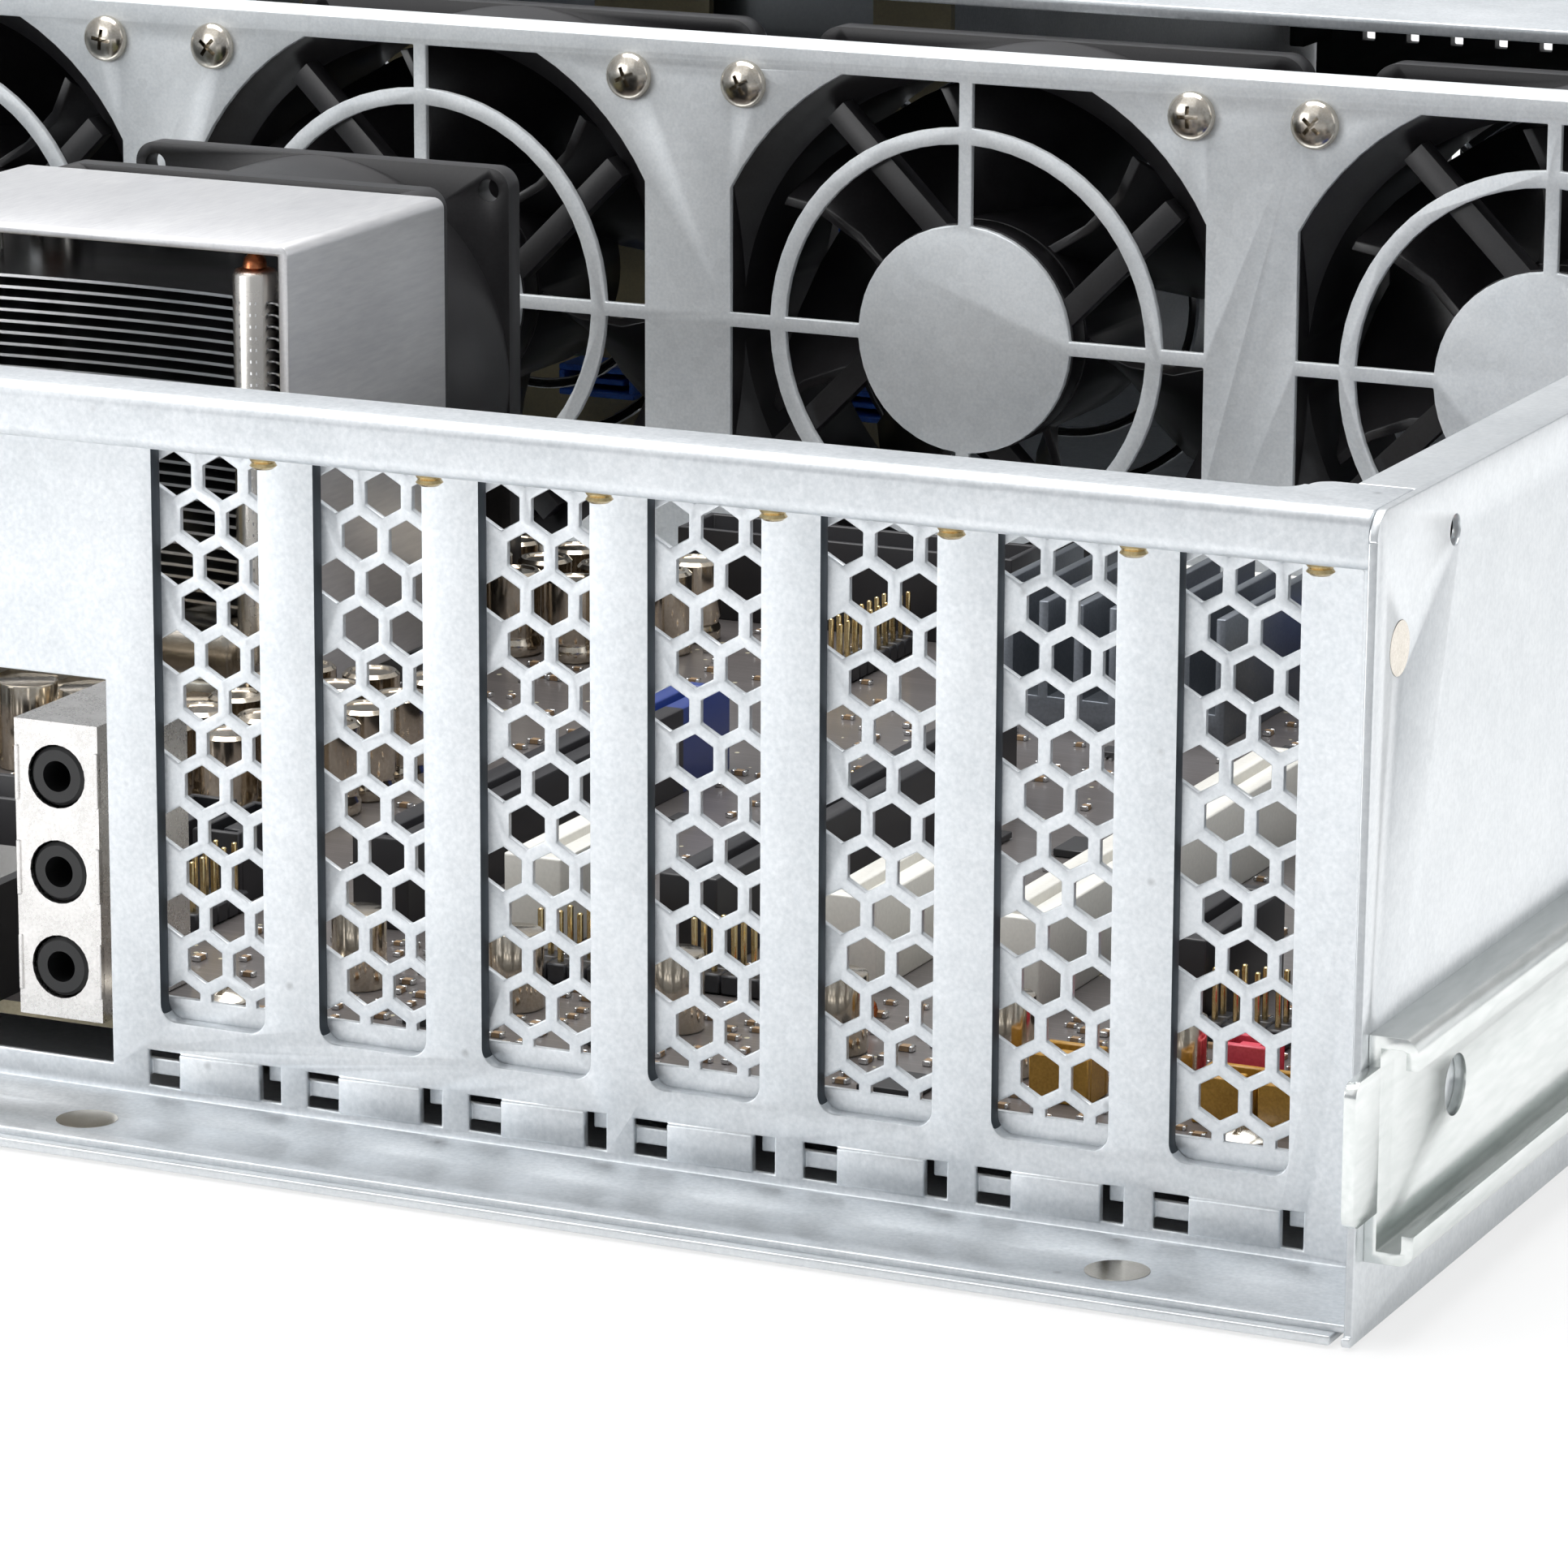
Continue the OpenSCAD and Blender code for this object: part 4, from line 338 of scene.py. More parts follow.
def bareAndShadedEdges(name, base, low, high):
    # A copy of a sheet's material whose punched edges, the faces that look along X in a box, are dark: partly bare cut
    # steel, partly painted shade of the recessed openings
    material = materials[base].copy()
    material.name = name
    tree = material.node_tree
    shader = tree.nodes["Principled BSDF"]
    coords = next(n for n in tree.nodes if n.type == "TEX_COORD").outputs["Object"]
    facing = addNode(tree, "ShaderNodeSeparateXYZ", {}, {
        "Vector": addNode(tree, "ShaderNodeNewGeometry").outputs["Normal"]})
    across = addNode(tree, "ShaderNodeMath", {"operation": "GREATER_THAN", 1: 0.8}, {
        0: addNode(tree, "ShaderNodeMath", {"operation": "ABSOLUTE"}, {0: facing.outputs["X"]}).outputs[0]})
    share = addNode(tree, "ShaderNodeMath", {"operation": "MULTIPLY"},
                    {0: across.outputs[0], 1: insideBox(tree, coords, low, high)})
    # dark colour on the openings' side walls: bare cut steel darkened further as painted shade
    for socket, value in (("Base Color", srgb("#4A5056")), ("Roughness", 0.55)):
        link = next(k for k in tree.links if k.to_socket == shader.inputs[socket])
        kind, first, second = ("RGBA", 6, 7) if socket == "Base Color" else ("FLOAT", 2, 3)
        mixed = addNode(tree, "ShaderNodeMix", {"data_type": kind, second: value},
                        {0: share.outputs[0], first: link.from_socket})
        tree.links.new(mixed.outputs[2 if kind == "RGBA" else 0], shader.inputs[socket])
    return material


rear = rearY / mm
materials["punchedSheet"] = bareAndShadedEdges("punchedSheet", "galvanisedSheet", (62, rear - 4, 8), (209, rear + 4, 78.4))


def zoned(name, plain, zones):
    # Moulded pieces of one node in their own colours: each zone is a box in millimetres
    material, tree, shader, coords = startMaterial(name, plain["colour"], plain["roughness"], IOR=1.52)
    noise = addNode(tree, "ShaderNodeTexNoise", {"Scale": perMetre(0.5)}, {"Vector": coords})
    values = {"Base Color": addNode(tree, "ShaderNodeRGB").outputs[0], "Metallic": None, "Roughness": None}
    values["Base Color"].default_value = srgb(plain["colour"])
    for socket, key in (("Metallic", "metallic"), ("Roughness", "roughness")):
        values[socket] = addNode(tree, "ShaderNodeValue").outputs[0]
        values[socket].default_value = plain.get(key, 0.0)
    for zone in zones:
        inside = insideBox(tree, coords, zone["low"], zone["high"])
        values["Base Color"] = addNode(tree, "ShaderNodeMix", {"data_type": "RGBA", 7: srgb(zone["colour"])},
                                       {0: inside, 6: values["Base Color"]}).outputs[2]
        for socket, key in (("Metallic", "metallic"), ("Roughness", "roughness")):
            values[socket] = addNode(tree, "ShaderNodeMix", {"data_type": "FLOAT", 3: zone.get(key, 0.0)},
                                     {0: inside, 2: values[socket]}).outputs[0]
    mottle = addNode(tree, "ShaderNodeMapRange", {"To Min": 0.9, "To Max": 1.1}, {"Value": noise.outputs["Fac"]})
    values["Base Color"] = addNode(tree, "ShaderNodeVectorMath", {"operation": "SCALE"}, {
        0: values["Base Color"], "Scale": mottle.outputs["Result"]}).outputs["Vector"]
    for socket, value in values.items():
        tree.links.new(value, shader.inputs[socket])
    bump = addNode(tree, "ShaderNodeBump", {"Strength": 0.4, "Distance": 0.008 * mm}, {"Height": noise.outputs["Fac"]})
    tree.links.new(bump.outputs["Normal"], shader.inputs["Normal"])
    return material


materials["boardSockets"] = zoned("boardSockets", {"colour": "#262528", "roughness": 0.42}, [
    {"low": (85, rear + 200, 5), "high": (112, rear + 262, 30), "colour": "#E9E7E1", "roughness": 0.35},
    {"low": (112, rear + 200, 5), "high": (160, rear + 262, 30), "colour": "#1F3F8C", "roughness": 0.35},
    {"low": (180, rear + 20, 5), "high": (212, rear + 70, 30), "colour": "#C43A4C", "roughness": 0.4}])
# card connectors: ivory ones between black ones, as their solids stand
materials["cardSockets"] = zoned("cardSockets", {"colour": "#201F22", "roughness": 0.4}, [
    {"low": (58, rear + 126, 5), "high": (74, rear + 150, 30), "colour": "#1D3478", "roughness": 0.35},
    {"low": (78, rear + 40, 5), "high": (94, rear + 150, 30), "colour": "#DAD8D1", "roughness": 0.35},
    {"low": (119, rear + 40, 5), "high": (155, rear + 150, 30), "colour": "#DAD8D1", "roughness": 0.35}])
# the supply's case, with its inlet moulded in black
materials["supplyCase"] = zoned("supplyCase", {"colour": "#B4B8BB", "roughness": 0.38, "metallic": 0.9}, [
    {"low": (-205.9, rear + 0.79, 37), "high": (-178.2, rear + 24, 57.4), "colour": "#19191B", "roughness": 0.4}])
# plated shells, with the audio jacks and the round ports in black
materials["portShells"] = zoned("portShells", {"colour": "#C9C7C3", "roughness": 0.25, "metallic": 0.95}, [
    {"low": (40, rear, 0), "high": (60, rear + 30, 60), "colour": "#141415", "roughness": 0.45},
    {"low": (-95, rear, 0), "high": (-74.6, rear + 30, 60), "colour": "#1F1F22", "roughness": 0.4}])
# black trays round bare metal drives
drive = {"middles": (-160.25, -53.75), "wide": 101.72, "back": 376.8, "front": 523.9, "top": 90}
drives = [{"low": (x - drive["wide"] / 2, rear + drive["back"], 0),
           "high": (x + drive["wide"] / 2, rear + drive["front"], drive["top"]),
           "colour": "#8E9296", "roughness": 0.4, "metallic": 0.9} for x in drive["middles"]]
materials["trayAndDrive"] = zoned("trayAndDrive", {"colour": "#232325", "roughness": 0.5}, drives)
print("materials:", len(materials))


# Pieces that stand for CAD nodes, with worked edges

def finishMesh(obj, sharpAngle=32):
    for polygon in obj.data.polygons:
        polygon.use_smooth = True
    obj.data.set_sharp_from_angle(angle=math.radians(sharpAngle))


def applied(obj):  # the object with its modifiers made real
    bpy.context.view_layer.update()
    graph = bpy.context.evaluated_depsgraph_get()
    mesh = bpy.data.meshes.new_from_object(obj.evaluated_get(graph))
    obj.modifiers.clear()
    obj.data = mesh
    return obj


def newPiece(name, mesh, material):
    obj = bpy.data.objects.new(name, mesh)
    bpy.context.scene.collection.objects.link(obj)
    mesh.materials.clear()
    mesh.materials.append(material)
    return obj


def settle(obj, node, replaced=True):  # rides and counts as the CAD node that it stands for or sits on
    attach(obj, nodes[node]["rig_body"])
    if replaced:
        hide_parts(node)


def worked(node, edge, segments=2):
    # A copy of the node with its loose triangles merged and its edges broken by a small round
    bm = bmesh.new()
    bm.from_mesh(nodes[node].data)
    bmesh.ops.remove_doubles(bm, verts=bm.verts, dist=2e-6)
    bmesh.ops.dissolve_limit(bm, angle_limit=math.radians(0.5), verts=bm.verts, edges=bm.edges)
    mesh = bpy.data.meshes.new("worked_" + node)
    bm.to_mesh(mesh)
    bm.free()
    obj = newPiece("worked_" + node, mesh, materials[materialOf[node]])
    if edge:
        bevel = obj.modifiers.new("edges", "BEVEL")
        bevel.width = edge * mm
        bevel.segments = segments
        bevel.limit_method = "ANGLE"
        bevel.angle_limit = math.radians(38)
        bevel.use_clamp_overlap = "fan_frame" in node
        applied(obj)
    finishMesh(obj)
    settle(obj, node)
    return obj


materialOf = {
    "base_pan": "panSheet", "rear_panel": "punchedSheet", "slot_covers": "galvanisedSheet",
    "slot_screws": "yellowPassivate", "chassis_screws": "nickelPlate", "io_ports": "portShells",
    "io_shield": "tinPlate", "motherboard": "boardLaminate", "board_standoffs": "yellowPassivate",
    "expansion_slots": "cardSockets", "memory_slots": "blackNylon", "memory_modules": "greenLaminate",
    "board_connectors": "boardSockets", "board_capacitors": "capacitorCan",
    "chipset_heatsink": "anodisedAluminium", "cpu_socket": "socketPlate", "cooler_base": "nickelPlate",
    "cooler_heat_pipes": "copperPipe", "cooler_fins": "finAluminium", "cooler_duct": "rolledAluminium",
    "cooler_fan_frame": "mouldedPbt", "cooler_fan_rotor": "rotorPbt", "fan_wall": "galvanisedWall",
    "fan_wall_screws": "nickelPlate", "fan_guards": "chromedWire", "psu_case": "supplyCase",
    "psu_fan_frame": "mouldedPbt", "psu_fan_rotor": "rotorPbt", "drive_cage": "galvanisedSheet",
    "drive_backplane": "greenLaminate", "bay_blanks": "mouldedAbs", "front_panel": "powderCoat",
    "control_panel": "mouldedAbs", "power_button": "greyAbs", "reset_button": "greyAbs",
    "status_lights": "lightLens", "front_cover": "galvanisedSheet", "rack_ears": "powderCoat",
    "ear_handles": "chromedWire", "slide_rails": "zincPlatedRail"}
for i in range(1, 5):
    materialOf["fan_frame_%d" % i] = "mouldedPbt"
    materialOf["fan_rotor_%d" % i] = "rotorPbt"
for i in range(1, 7):
    materialOf["drive_tray_%d" % i] = "trayAndDrive"
    materialOf["tray_lever_%d" % i] = "greyAbs"

edgeOf = {  # radius of the worked edges, in millimetres
    "base_pan": 0.18, "rear_panel": 0.22, "slot_covers": 0.14, "fan_wall": 0.2, "cooler_duct": 0.3,
    "front_cover": 0.25, "rack_ears": 0.4, "psu_case": 0.3, "drive_cage": 0.2,
    "front_panel": 0.25, "control_panel": 0.3, "bay_blanks": 0.3, "power_button": 0.5, "reset_button": 0.3,
    "expansion_slots": 0.25, "memory_slots": 0.25,
    "board_connectors": 0.2, "chipset_heatsink": 0.15, "cooler_base": 0.4, "cpu_socket": 0.3,
    "ear_handles": 0, "status_lights": 0.2, "fan_guards": 0, "board_capacitors": 0.3,
    "memory_modules": 0.1, "board_standoffs": 0.2, "chassis_screws": 0.1}
for node in nodes:
    if node.startswith(("drive_tray", "tray_lever")):
        edgeOf[node] = 0.35
    elif "fan_frame" in node:
        edgeOf[node] = 0.3
    elif "fan_rotor" in node:
        edgeOf[node] = 0.2
for node, edge in edgeOf.items():
    worked(node, edge)
for node, name in materialOf.items():
    nodes[node].data.materials.clear()
    nodes[node].data.materials.append(materials[name])
print("worked pieces:", len(edgeOf))


# Screws, spread by Geometry Nodes over their places

def lathe(profile, turns=28):  # closed solid from a profile of (radius, height) that runs from pole to pole
    bm = bmesh.new()
    rings = []
    for radius, height in profile:
        if radius == 0:
            rings.append([bm.verts.new((0, 0, height))])
        else:
            rings.append([bm.verts.new((radius * math.cos(a), radius * math.sin(a), height))
                          for a in (2 * math.pi * k / turns for k in range(turns))])
    for lower, upper in zip(rings, rings[1:]):
        for k in range(turns):
            ring = [lower[k % len(lower)], lower[(k + 1) % len(lower)],
                    upper[(k + 1) % len(upper)], upper[k % len(upper)]]
            corners = [v for n, v in enumerate(ring) if v not in ring[:n]]
            bm.faces.new(corners)
    bmesh.ops.recalc_face_normals(bm, faces=bm.faces)
    mesh = bpy.data.meshes.new("lathe")
    bm.to_mesh(mesh)
    bm.free()
    return mesh


def screwShape(size):
    # Pan head with a crowned top and a Phillips recess, on a threaded shank
    head, rise, shank, length = size["headR"], size["headH"], size["shankR"], size["length"]
    profile = [(0, -length), (shank * 0.7, -length)]
    turnsOfThread = int(length / size["pitch"])
    for k in range(turnsOfThread * 2):
        profile.append((shank if k % 2 == 0 else shank * 0.84, -length + (k + 1) * size["pitch"] / 2))
    profile += [(shank, 0), (head * 0.93, 0), (head, rise * 0.12), (head * 0.985, rise * 0.4)]
    for k in range(1, 7):
        angle = math.radians(15 * k)
        radius = head * 0.985 * math.cos(angle) if k < 6 else 0
        profile.append((radius, rise * (0.4 + 0.6 * math.sin(angle))))
    screw = newPiece("screwShape", lathe([(r * mm, z * mm) for r, z in profile]), materials["nickelPlate"])
    bm = bmesh.new()
    for turn in (0, 90):
        wing = bmesh.ops.create_cube(bm, size=1.0)["verts"]
        for v in wing:
            low = v.co.z < 0
            v.co.x *= size["recess"] * (1.1 if low else 2.0) * mm
            v.co.y *= size["recess"] * (0.22 if low else 0.36) * mm
            v.co.z = (rise * 0.28 if low else rise * 1.4) * mm
            v.co = Matrix.Rotation(math.radians(turn), 3, "Z") @ v.co
    bmesh.ops.recalc_face_normals(bm, faces=bm.faces)
    cutterMesh = bpy.data.meshes.new("recess")
    bm.to_mesh(cutterMesh)
    bm.free()
    cutter = newPiece("recess", cutterMesh, materials["nickelPlate"])
    cut = screw.modifiers.new("recess", "BOOLEAN")
    cut.operation, cut.solver, cut.object, cut.use_self = "DIFFERENCE", "EXACT", cutter, True
    applied(screw)
    bpy.data.objects.remove(cutter)
    finishMesh(screw, 40)
    return screw


def spread(name, shape, places, material, seed=1, turn=0.0, grow=(1.0, 1.0)):
    # One mesh of copies of a shape: places are (point, rotation) pairs, in metres and radians
    mesh = bpy.data.meshes.new(name)
    mesh.from_pydata([tuple(p) for p, r in places], [], [])
    turns = mesh.attributes.new("turn", "FLOAT_VECTOR", "POINT")
    for k, (p, r) in enumerate(places):
        turns.data[k].vector = r
    obj = bpy.data.objects.new(name, mesh)
    bpy.context.scene.collection.objects.link(obj)
    tree = bpy.data.node_groups.new(name, "GeometryNodeTree")
    tree.interface.new_socket("Geometry", in_out="INPUT", socket_type="NodeSocketGeometry")
    tree.interface.new_socket("Geometry", in_out="OUTPUT", socket_type="NodeSocketGeometry")
    inputs = {}
    for label, kind, value in (("Shape", "NodeSocketObject", shape), ("Least size", "NodeSocketFloat", grow[0]),
                               ("Most size", "NodeSocketFloat", grow[1]), ("Random turn", "NodeSocketFloat", turn),
                               ("Seed", "NodeSocketInt", seed)):
        inputs[label] = (tree.interface.new_socket(label, in_out="INPUT", socket_type=kind).identifier, value)
    way = addNode(tree, "NodeGroupInput")
    shown = addNode(tree, "GeometryNodeObjectInfo", {"transform_space": "ORIGINAL"}, {"Object": way.outputs["Shape"]})
    size = addNode(tree, "FunctionNodeRandomValue", {"data_type": "FLOAT"},
                   {2: way.outputs["Least size"], 3: way.outputs["Most size"], "Seed": way.outputs["Seed"]})
    facing = addNode(tree, "GeometryNodeInputNamedAttribute", {"data_type": "FLOAT_VECTOR", "Name": "turn"})
    copies = addNode(tree, "GeometryNodeInstanceOnPoints", {}, {
        "Points": way.outputs["Geometry"], "Instance": shown.outputs["Geometry"],
        "Rotation": facing.outputs["Attribute"], "Scale": size.outputs[1]})
    angle = addNode(tree, "FunctionNodeRandomValue", {"data_type": "FLOAT", 2: 0.0},
                    {3: way.outputs["Random turn"], "Seed": way.outputs["Seed"]})
    spun = addNode(tree, "GeometryNodeRotateInstances", {}, {
        "Instances": copies.outputs["Instances"],
        "Rotation": addNode(tree, "ShaderNodeCombineXYZ", {}, {"Z": angle.outputs[1]}).outputs[0]})
    real = addNode(tree, "GeometryNodeRealizeInstances", {}, {"Geometry": spun.outputs["Instances"]})
    painted = addNode(tree, "GeometryNodeSetMaterial", {"Material": material}, {"Geometry": real.outputs["Geometry"]})
    addNode(tree, "NodeGroupOutput", {}, {"Geometry": painted.outputs["Geometry"]})
    modifier = obj.modifiers.new(name, "NODES")
    modifier.node_group = tree
    for identifier, value in inputs.values():
        modifier[identifier] = value
    applied(obj)
    finishMesh(obj, 40)
    shape.hide_render = True
    return obj


def discard(*shapes):
    for shape in shapes:
        bpy.data.objects.remove(shape)


def solidsOf(node):
    # Lowest and highest corner of each solid of a CAD node, in millimetres, from left to right
    bm = bmesh.new()
    bm.from_mesh(nodes[node].data)
    bmesh.ops.remove_doubles(bm, verts=bm.verts, dist=2e-6)
    left, found = set(bm.verts), []
    while left:
        group, ahead = set(), [left.pop()]
        while ahead:
            vertex = ahead.pop()
            group.add(vertex)
            for edge in vertex.link_edges:
                other = edge.other_vert(vertex)
                if other in left:
                    left.discard(other)
                    ahead.append(other)
        found.append(tuple(Vector([pick(v.co[axis] for v in group) / mm for axis in range(3)]) for pick in (min, max)))
    bm.free()
    return sorted(found, key=lambda ends: (round(ends[0].x, 1), round(ends[0].z, 1)))


slotScrew = {"headR": 3.1, "headH": 2.3, "shankR": 1.5, "length": 4.7, "pitch": 0.7, "recess": 1.75}
shape = screwShape(slotScrew)
places = [(Vector(((low.x + high.x) / 2, (low.y + high.y) / 2, high.z - slotScrew["headH"])) * mm, (0, 0, 0))
          for low, high in solidsOf("slot_screws")]
screws = spread("slotScrews", shape, places, materials["yellowPassivate"], seed=4, turn=math.pi)
settle(screws, "slot_screws")
discard(shape)

wallScrew = {"headR": 3.6, "headH": 2.4, "shankR": 1.9, "length": 5.4, "pitch": 0.9, "recess": 2.0}
shape = screwShape(wallScrew)
places = [(Vector(((low.x + high.x) / 2, low.y + wallScrew["headH"], (low.z + high.z) / 2)) * mm, (math.pi / 2, 0, 0))
          for low, high in solidsOf("fan_wall_screws")]
screws = spread("fanWallScrews", shape, places, materials["nickelPlate"], seed=11, turn=math.pi)
settle(screws, "fan_wall_screws")
discard(shape)
print("screws spread")


def blockShape(name, boxes, edge=0.12):  # boxes are (low, high) corners in millimetres
    bm = bmesh.new()
    for low, high in boxes:
        for v in bmesh.ops.create_cube(bm, size=1.0)["verts"]:
            v.co = Vector([(lo + hi) / 2 + c * (hi - lo) for lo, hi, c in zip(low, high, v.co)]) * mm
    mesh = bpy.data.meshes.new(name)
    bm.to_mesh(mesh)
    bm.free()
    shape = newPiece(name, mesh, materials["mouldCompound"])
    if edge:
        bevel = shape.modifiers.new("edges", "BEVEL")
        bevel.width, bevel.segments, bevel.limit_method = edge * mm, 1, "ANGLE"
        applied(shape)
    return shape


# Pieces whose photographed form the CAD nodes lack

def stretched(name, outline, holes, depth):
    # Flat outline in millimetres with round holes (x, y, radius), raised along Z by depth
    sketch = bpy.data.curves.new(name, "CURVE")
    sketch.dimensions, sketch.fill_mode, sketch.extrude = "2D", "BOTH", depth * mm / 2
    rings = [outline] + [[(x + r * math.cos(a), y + r * math.sin(a)) for a in (math.pi * k / 12 for k in range(24))]
                         for x, y, r in holes]
    for ring in rings:
        spline = sketch.splines.new("POLY")
        spline.points.add(len(ring) - 1)
        spline.use_cyclic_u = True
        for point, (x, y) in zip(spline.points, ring):
            point.co = (x * mm, y * mm, 0, 1)
    holder = bpy.data.objects.new(name, sketch)
    bpy.context.scene.collection.objects.link(holder)
    bpy.context.view_layer.update()
    mesh = bpy.data.meshes.new_from_object(holder.evaluated_get(bpy.context.evaluated_depsgraph_get()))
    bpy.data.objects.remove(holder)
    bm = bmesh.new()
    bm.from_mesh(mesh)
    bmesh.ops.remove_doubles(bm, verts=bm.verts, dist=1e-6)
    bm.to_mesh(mesh)
    bm.free()
    return mesh


def joined(name, parts, material):  # one piece from meshes and their placements
    bm = bmesh.new()
    for mesh, matrix in parts:
        first = len(bm.verts)
        bm.from_mesh(mesh)
        bm.verts.ensure_lookup_table()
        for v in bm.verts[first:]:
            v.co = matrix @ v.co
    bmesh.ops.recalc_face_normals(bm, faces=bm.faces)
    whole = bpy.data.meshes.new(name)
    bm.to_mesh(whole)
    bm.free()
    piece = newPiece(name, whole, materials[material])
    finishMesh(piece)
    return piece


# cooler: six pipes with sealed tips, and fins whose long edges are scooped between them
cooler = {"pipeR": 3.0, "sunk": 3.0, "tipR": 1.65, "tipH": 2.2, "sideways": 26.6, "lengthways": 18.4, "shoulder": 70.9}
fins = {"count": 28, "sheet": 0.4, "top": 67.0, "wide": 63.8, "deep": 41.6, "scoop": 4.6, "steps": 10, "taper": 0.55}
ductLow, ductHigh = (Vector(corner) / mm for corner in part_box("cooler_duct"))
heart = ((ductLow.x + ductHigh.x) / 2, (ductLow.y + ductHigh.y) / 2)
pipeR, tipR, tipH, shoulder = (cooler[k] for k in ("pipeR", "tipR", "tipH", "shoulder"))
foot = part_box("cooler_base")[0][2] / mm + cooler["sunk"]
profile = [(0, foot), (pipeR, foot), (pipeR, shoulder - 0.6), (pipeR * 0.86, shoulder), (tipR, shoulder + 0.3),
           (tipR * 0.86, shoulder + tipH * 0.7), (tipR * 0.4, shoulder + tipH), (0, shoulder + tipH)]
shape = newPiece("pipe", lathe([(r * mm, z * mm) for r, z in profile], 32), materials["copperPipe"])
spots = [(heart[0] + i * cooler["sideways"], heart[1] + k * cooler["lengthways"]) for i in (-1, 1) for k in (-1, 0, 1)]
piece = spread("heatPipes", shape, [(Vector((x, y, 0)) * mm, (0, 0, 0)) for x, y in spots], materials["copperPipe"])
settle(piece, "cooler_heat_pipes")
discard(shape)

halfW, halfL, steps = fins["wide"] / 2, fins["deep"] / 2, fins["steps"]
edge = [(halfW * math.sin(math.pi / 2 * t), halfL - fins["scoop"] * max(0, math.cos(math.pi * t * fins["taper"])))
        for t in (k / steps for k in range(-steps, steps + 1))]
outline = edge + [(x, -y) for x, y in reversed(edge)]
fin = stretched("fin", outline, [(x - heart[0], y - heart[1], pipeR) for x, y in spots], fins["sheet"])
shape = newPiece("fin", fin, materials["finAluminium"])
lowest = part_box("cooler_fins")[0][2] / mm + fins["sheet"] / 2
rise = (fins["top"] - lowest - fins["sheet"] / 2) / (fins["count"] - 1)
places = [(Vector((*heart, lowest + rise * k)) * mm, (0, 0, 0)) for k in range(fins["count"])]
piece = spread("coolerFins", shape, places, materials["finAluminium"])
settle(piece, "cooler_fins")
discard(shape)

# tin shell with three audio jacks in the open port window, the other ports behind it as they are
jacks = {"middle": 51.8, "wide": 10.8, "low": 9.1, "high": 43.6, "near": 1.0, "deep": 20.0, "wall": 0.4, "first": 15.1,
         "rise": 11.1, "holeR": 3.7, "noseR": 3.45, "chamfer": 0.4, "boreR": 1.8, "bore": 14.0,
         "tabHigh": 6.4, "tabWide": 0.5}
x0, x1 = jacks["middle"] - jacks["wide"] / 2, jacks["middle"] + jacks["wide"] / 2
y0 = rear + jacks["near"]
y1 = y0 + jacks["deep"]
z0, z1, wall, tabWide, tabHalf = jacks["low"], jacks["high"], jacks["wall"], jacks["tabWide"], jacks["tabHigh"] / 2
heights = [jacks["first"] + jacks["rise"] * k for k in range(3)]
front = stretched("jackFront", [(x0, z0), (x1, z0), (x1, z1), (x0, z1)],
                  [(jacks["middle"], z, jacks["holeR"]) for z in heights], wall)
walls = blockShape("jackWalls", [
    ((x0, y0 + wall, z0), (x0 + wall, y1, z1)), ((x1 - wall, y0 + wall, z0), (x1, y1, z1)),
    ((x0 + wall, y0 + wall, z1 - wall), (x1 - wall, y1, z1)),
    ((x0 + wall, y1 - wall, z0), (x1 - wall, y1, z1 - wall))], 0)
tabs = blockShape("jackTabs", [((x, y0 - 0.25, z - tabHalf), (x + tabWide, y0 + 0.6, z + tabHalf))
                               for z in heights for x in (x0, x1 - tabWide)], 0.1)
facing = Matrix.Translation((0, (y0 + wall / 2) * mm, 0)) @ Matrix.Rotation(math.pi / 2, 4, "X")
piece = joined("jackShell", [(front, facing), (walls.data, Matrix()), (tabs.data, Matrix())], "tinPlate")
settle(piece, "io_shield")
discard(walls, tabs)

noseR, boreR, bore, chamfer = (jacks[k] * mm for k in ("noseR", "boreR", "bore", "chamfer"))
nose = lathe([(0, bore), (noseR, bore), (noseR, chamfer), (noseR - chamfer, 0), (boreR, 0), (boreR, bore - mm),
              (0, bore - mm)], 32)
upright = Matrix.Rotation(-math.pi / 2, 4, "X")
noses = [(nose, Matrix.Translation(Vector((jacks["middle"], y0 + 0.1, z)) * mm) @ upright) for z in heights]
bm = bmesh.new()
bm.from_mesh(nodes["io_ports"].data)
bmesh.ops.remove_doubles(bm, verts=bm.verts, dist=2e-6)
bmesh.ops.delete(bm, geom=[v for v in bm.verts if v.co.x > (x0 - 3) * mm], context="VERTS")
others = bpy.data.meshes.new("otherPorts")
bm.to_mesh(others)
bm.free()
settle(joined("ports", [(others, Matrix())] + noses, "portShells"), "io_ports")

# rolled rail: a web on the side wall between two curled flanges, and its tab that reaches out behind
rail = {"low": 8.3, "high": 32.3, "wide": 5.3, "sheet": 1.3, "radius": 1.6, "innerR": 0.4, "lip": 3.3, "start": -16.0,
        "tabLow": 13.6, "tabHigh": 29.0, "lap": 4.0, "gap": 0.02, "holeR": 3.3, "holeY": 7.2, "holeZ": 21.0,
        "edge": 0.2}
railLow, railHigh = (Vector(corner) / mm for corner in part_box("slide_rails"))
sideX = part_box("base_pan")[1][0] / mm


def cornered(left, right, low, high, radius, corners):  # rectangle with some of its corners rounded
    points = []
    for name, x, y, start in (("lowRight", right - radius, low + radius, -90),
                              ("highRight", right - radius, high - radius, 0),
                              ("highLeft", left + radius, high - radius, 90),
                              ("lowLeft", left + radius, low + radius, 180)):
        if name in corners:
            angles = [math.radians(start + 15 * k) for k in range(7)]
            points += [(x + radius * math.cos(a), y + radius * math.sin(a)) for a in angles]
        else:
            points.append((right if "Right" in name else left, high if "high" in name else low))
    return points


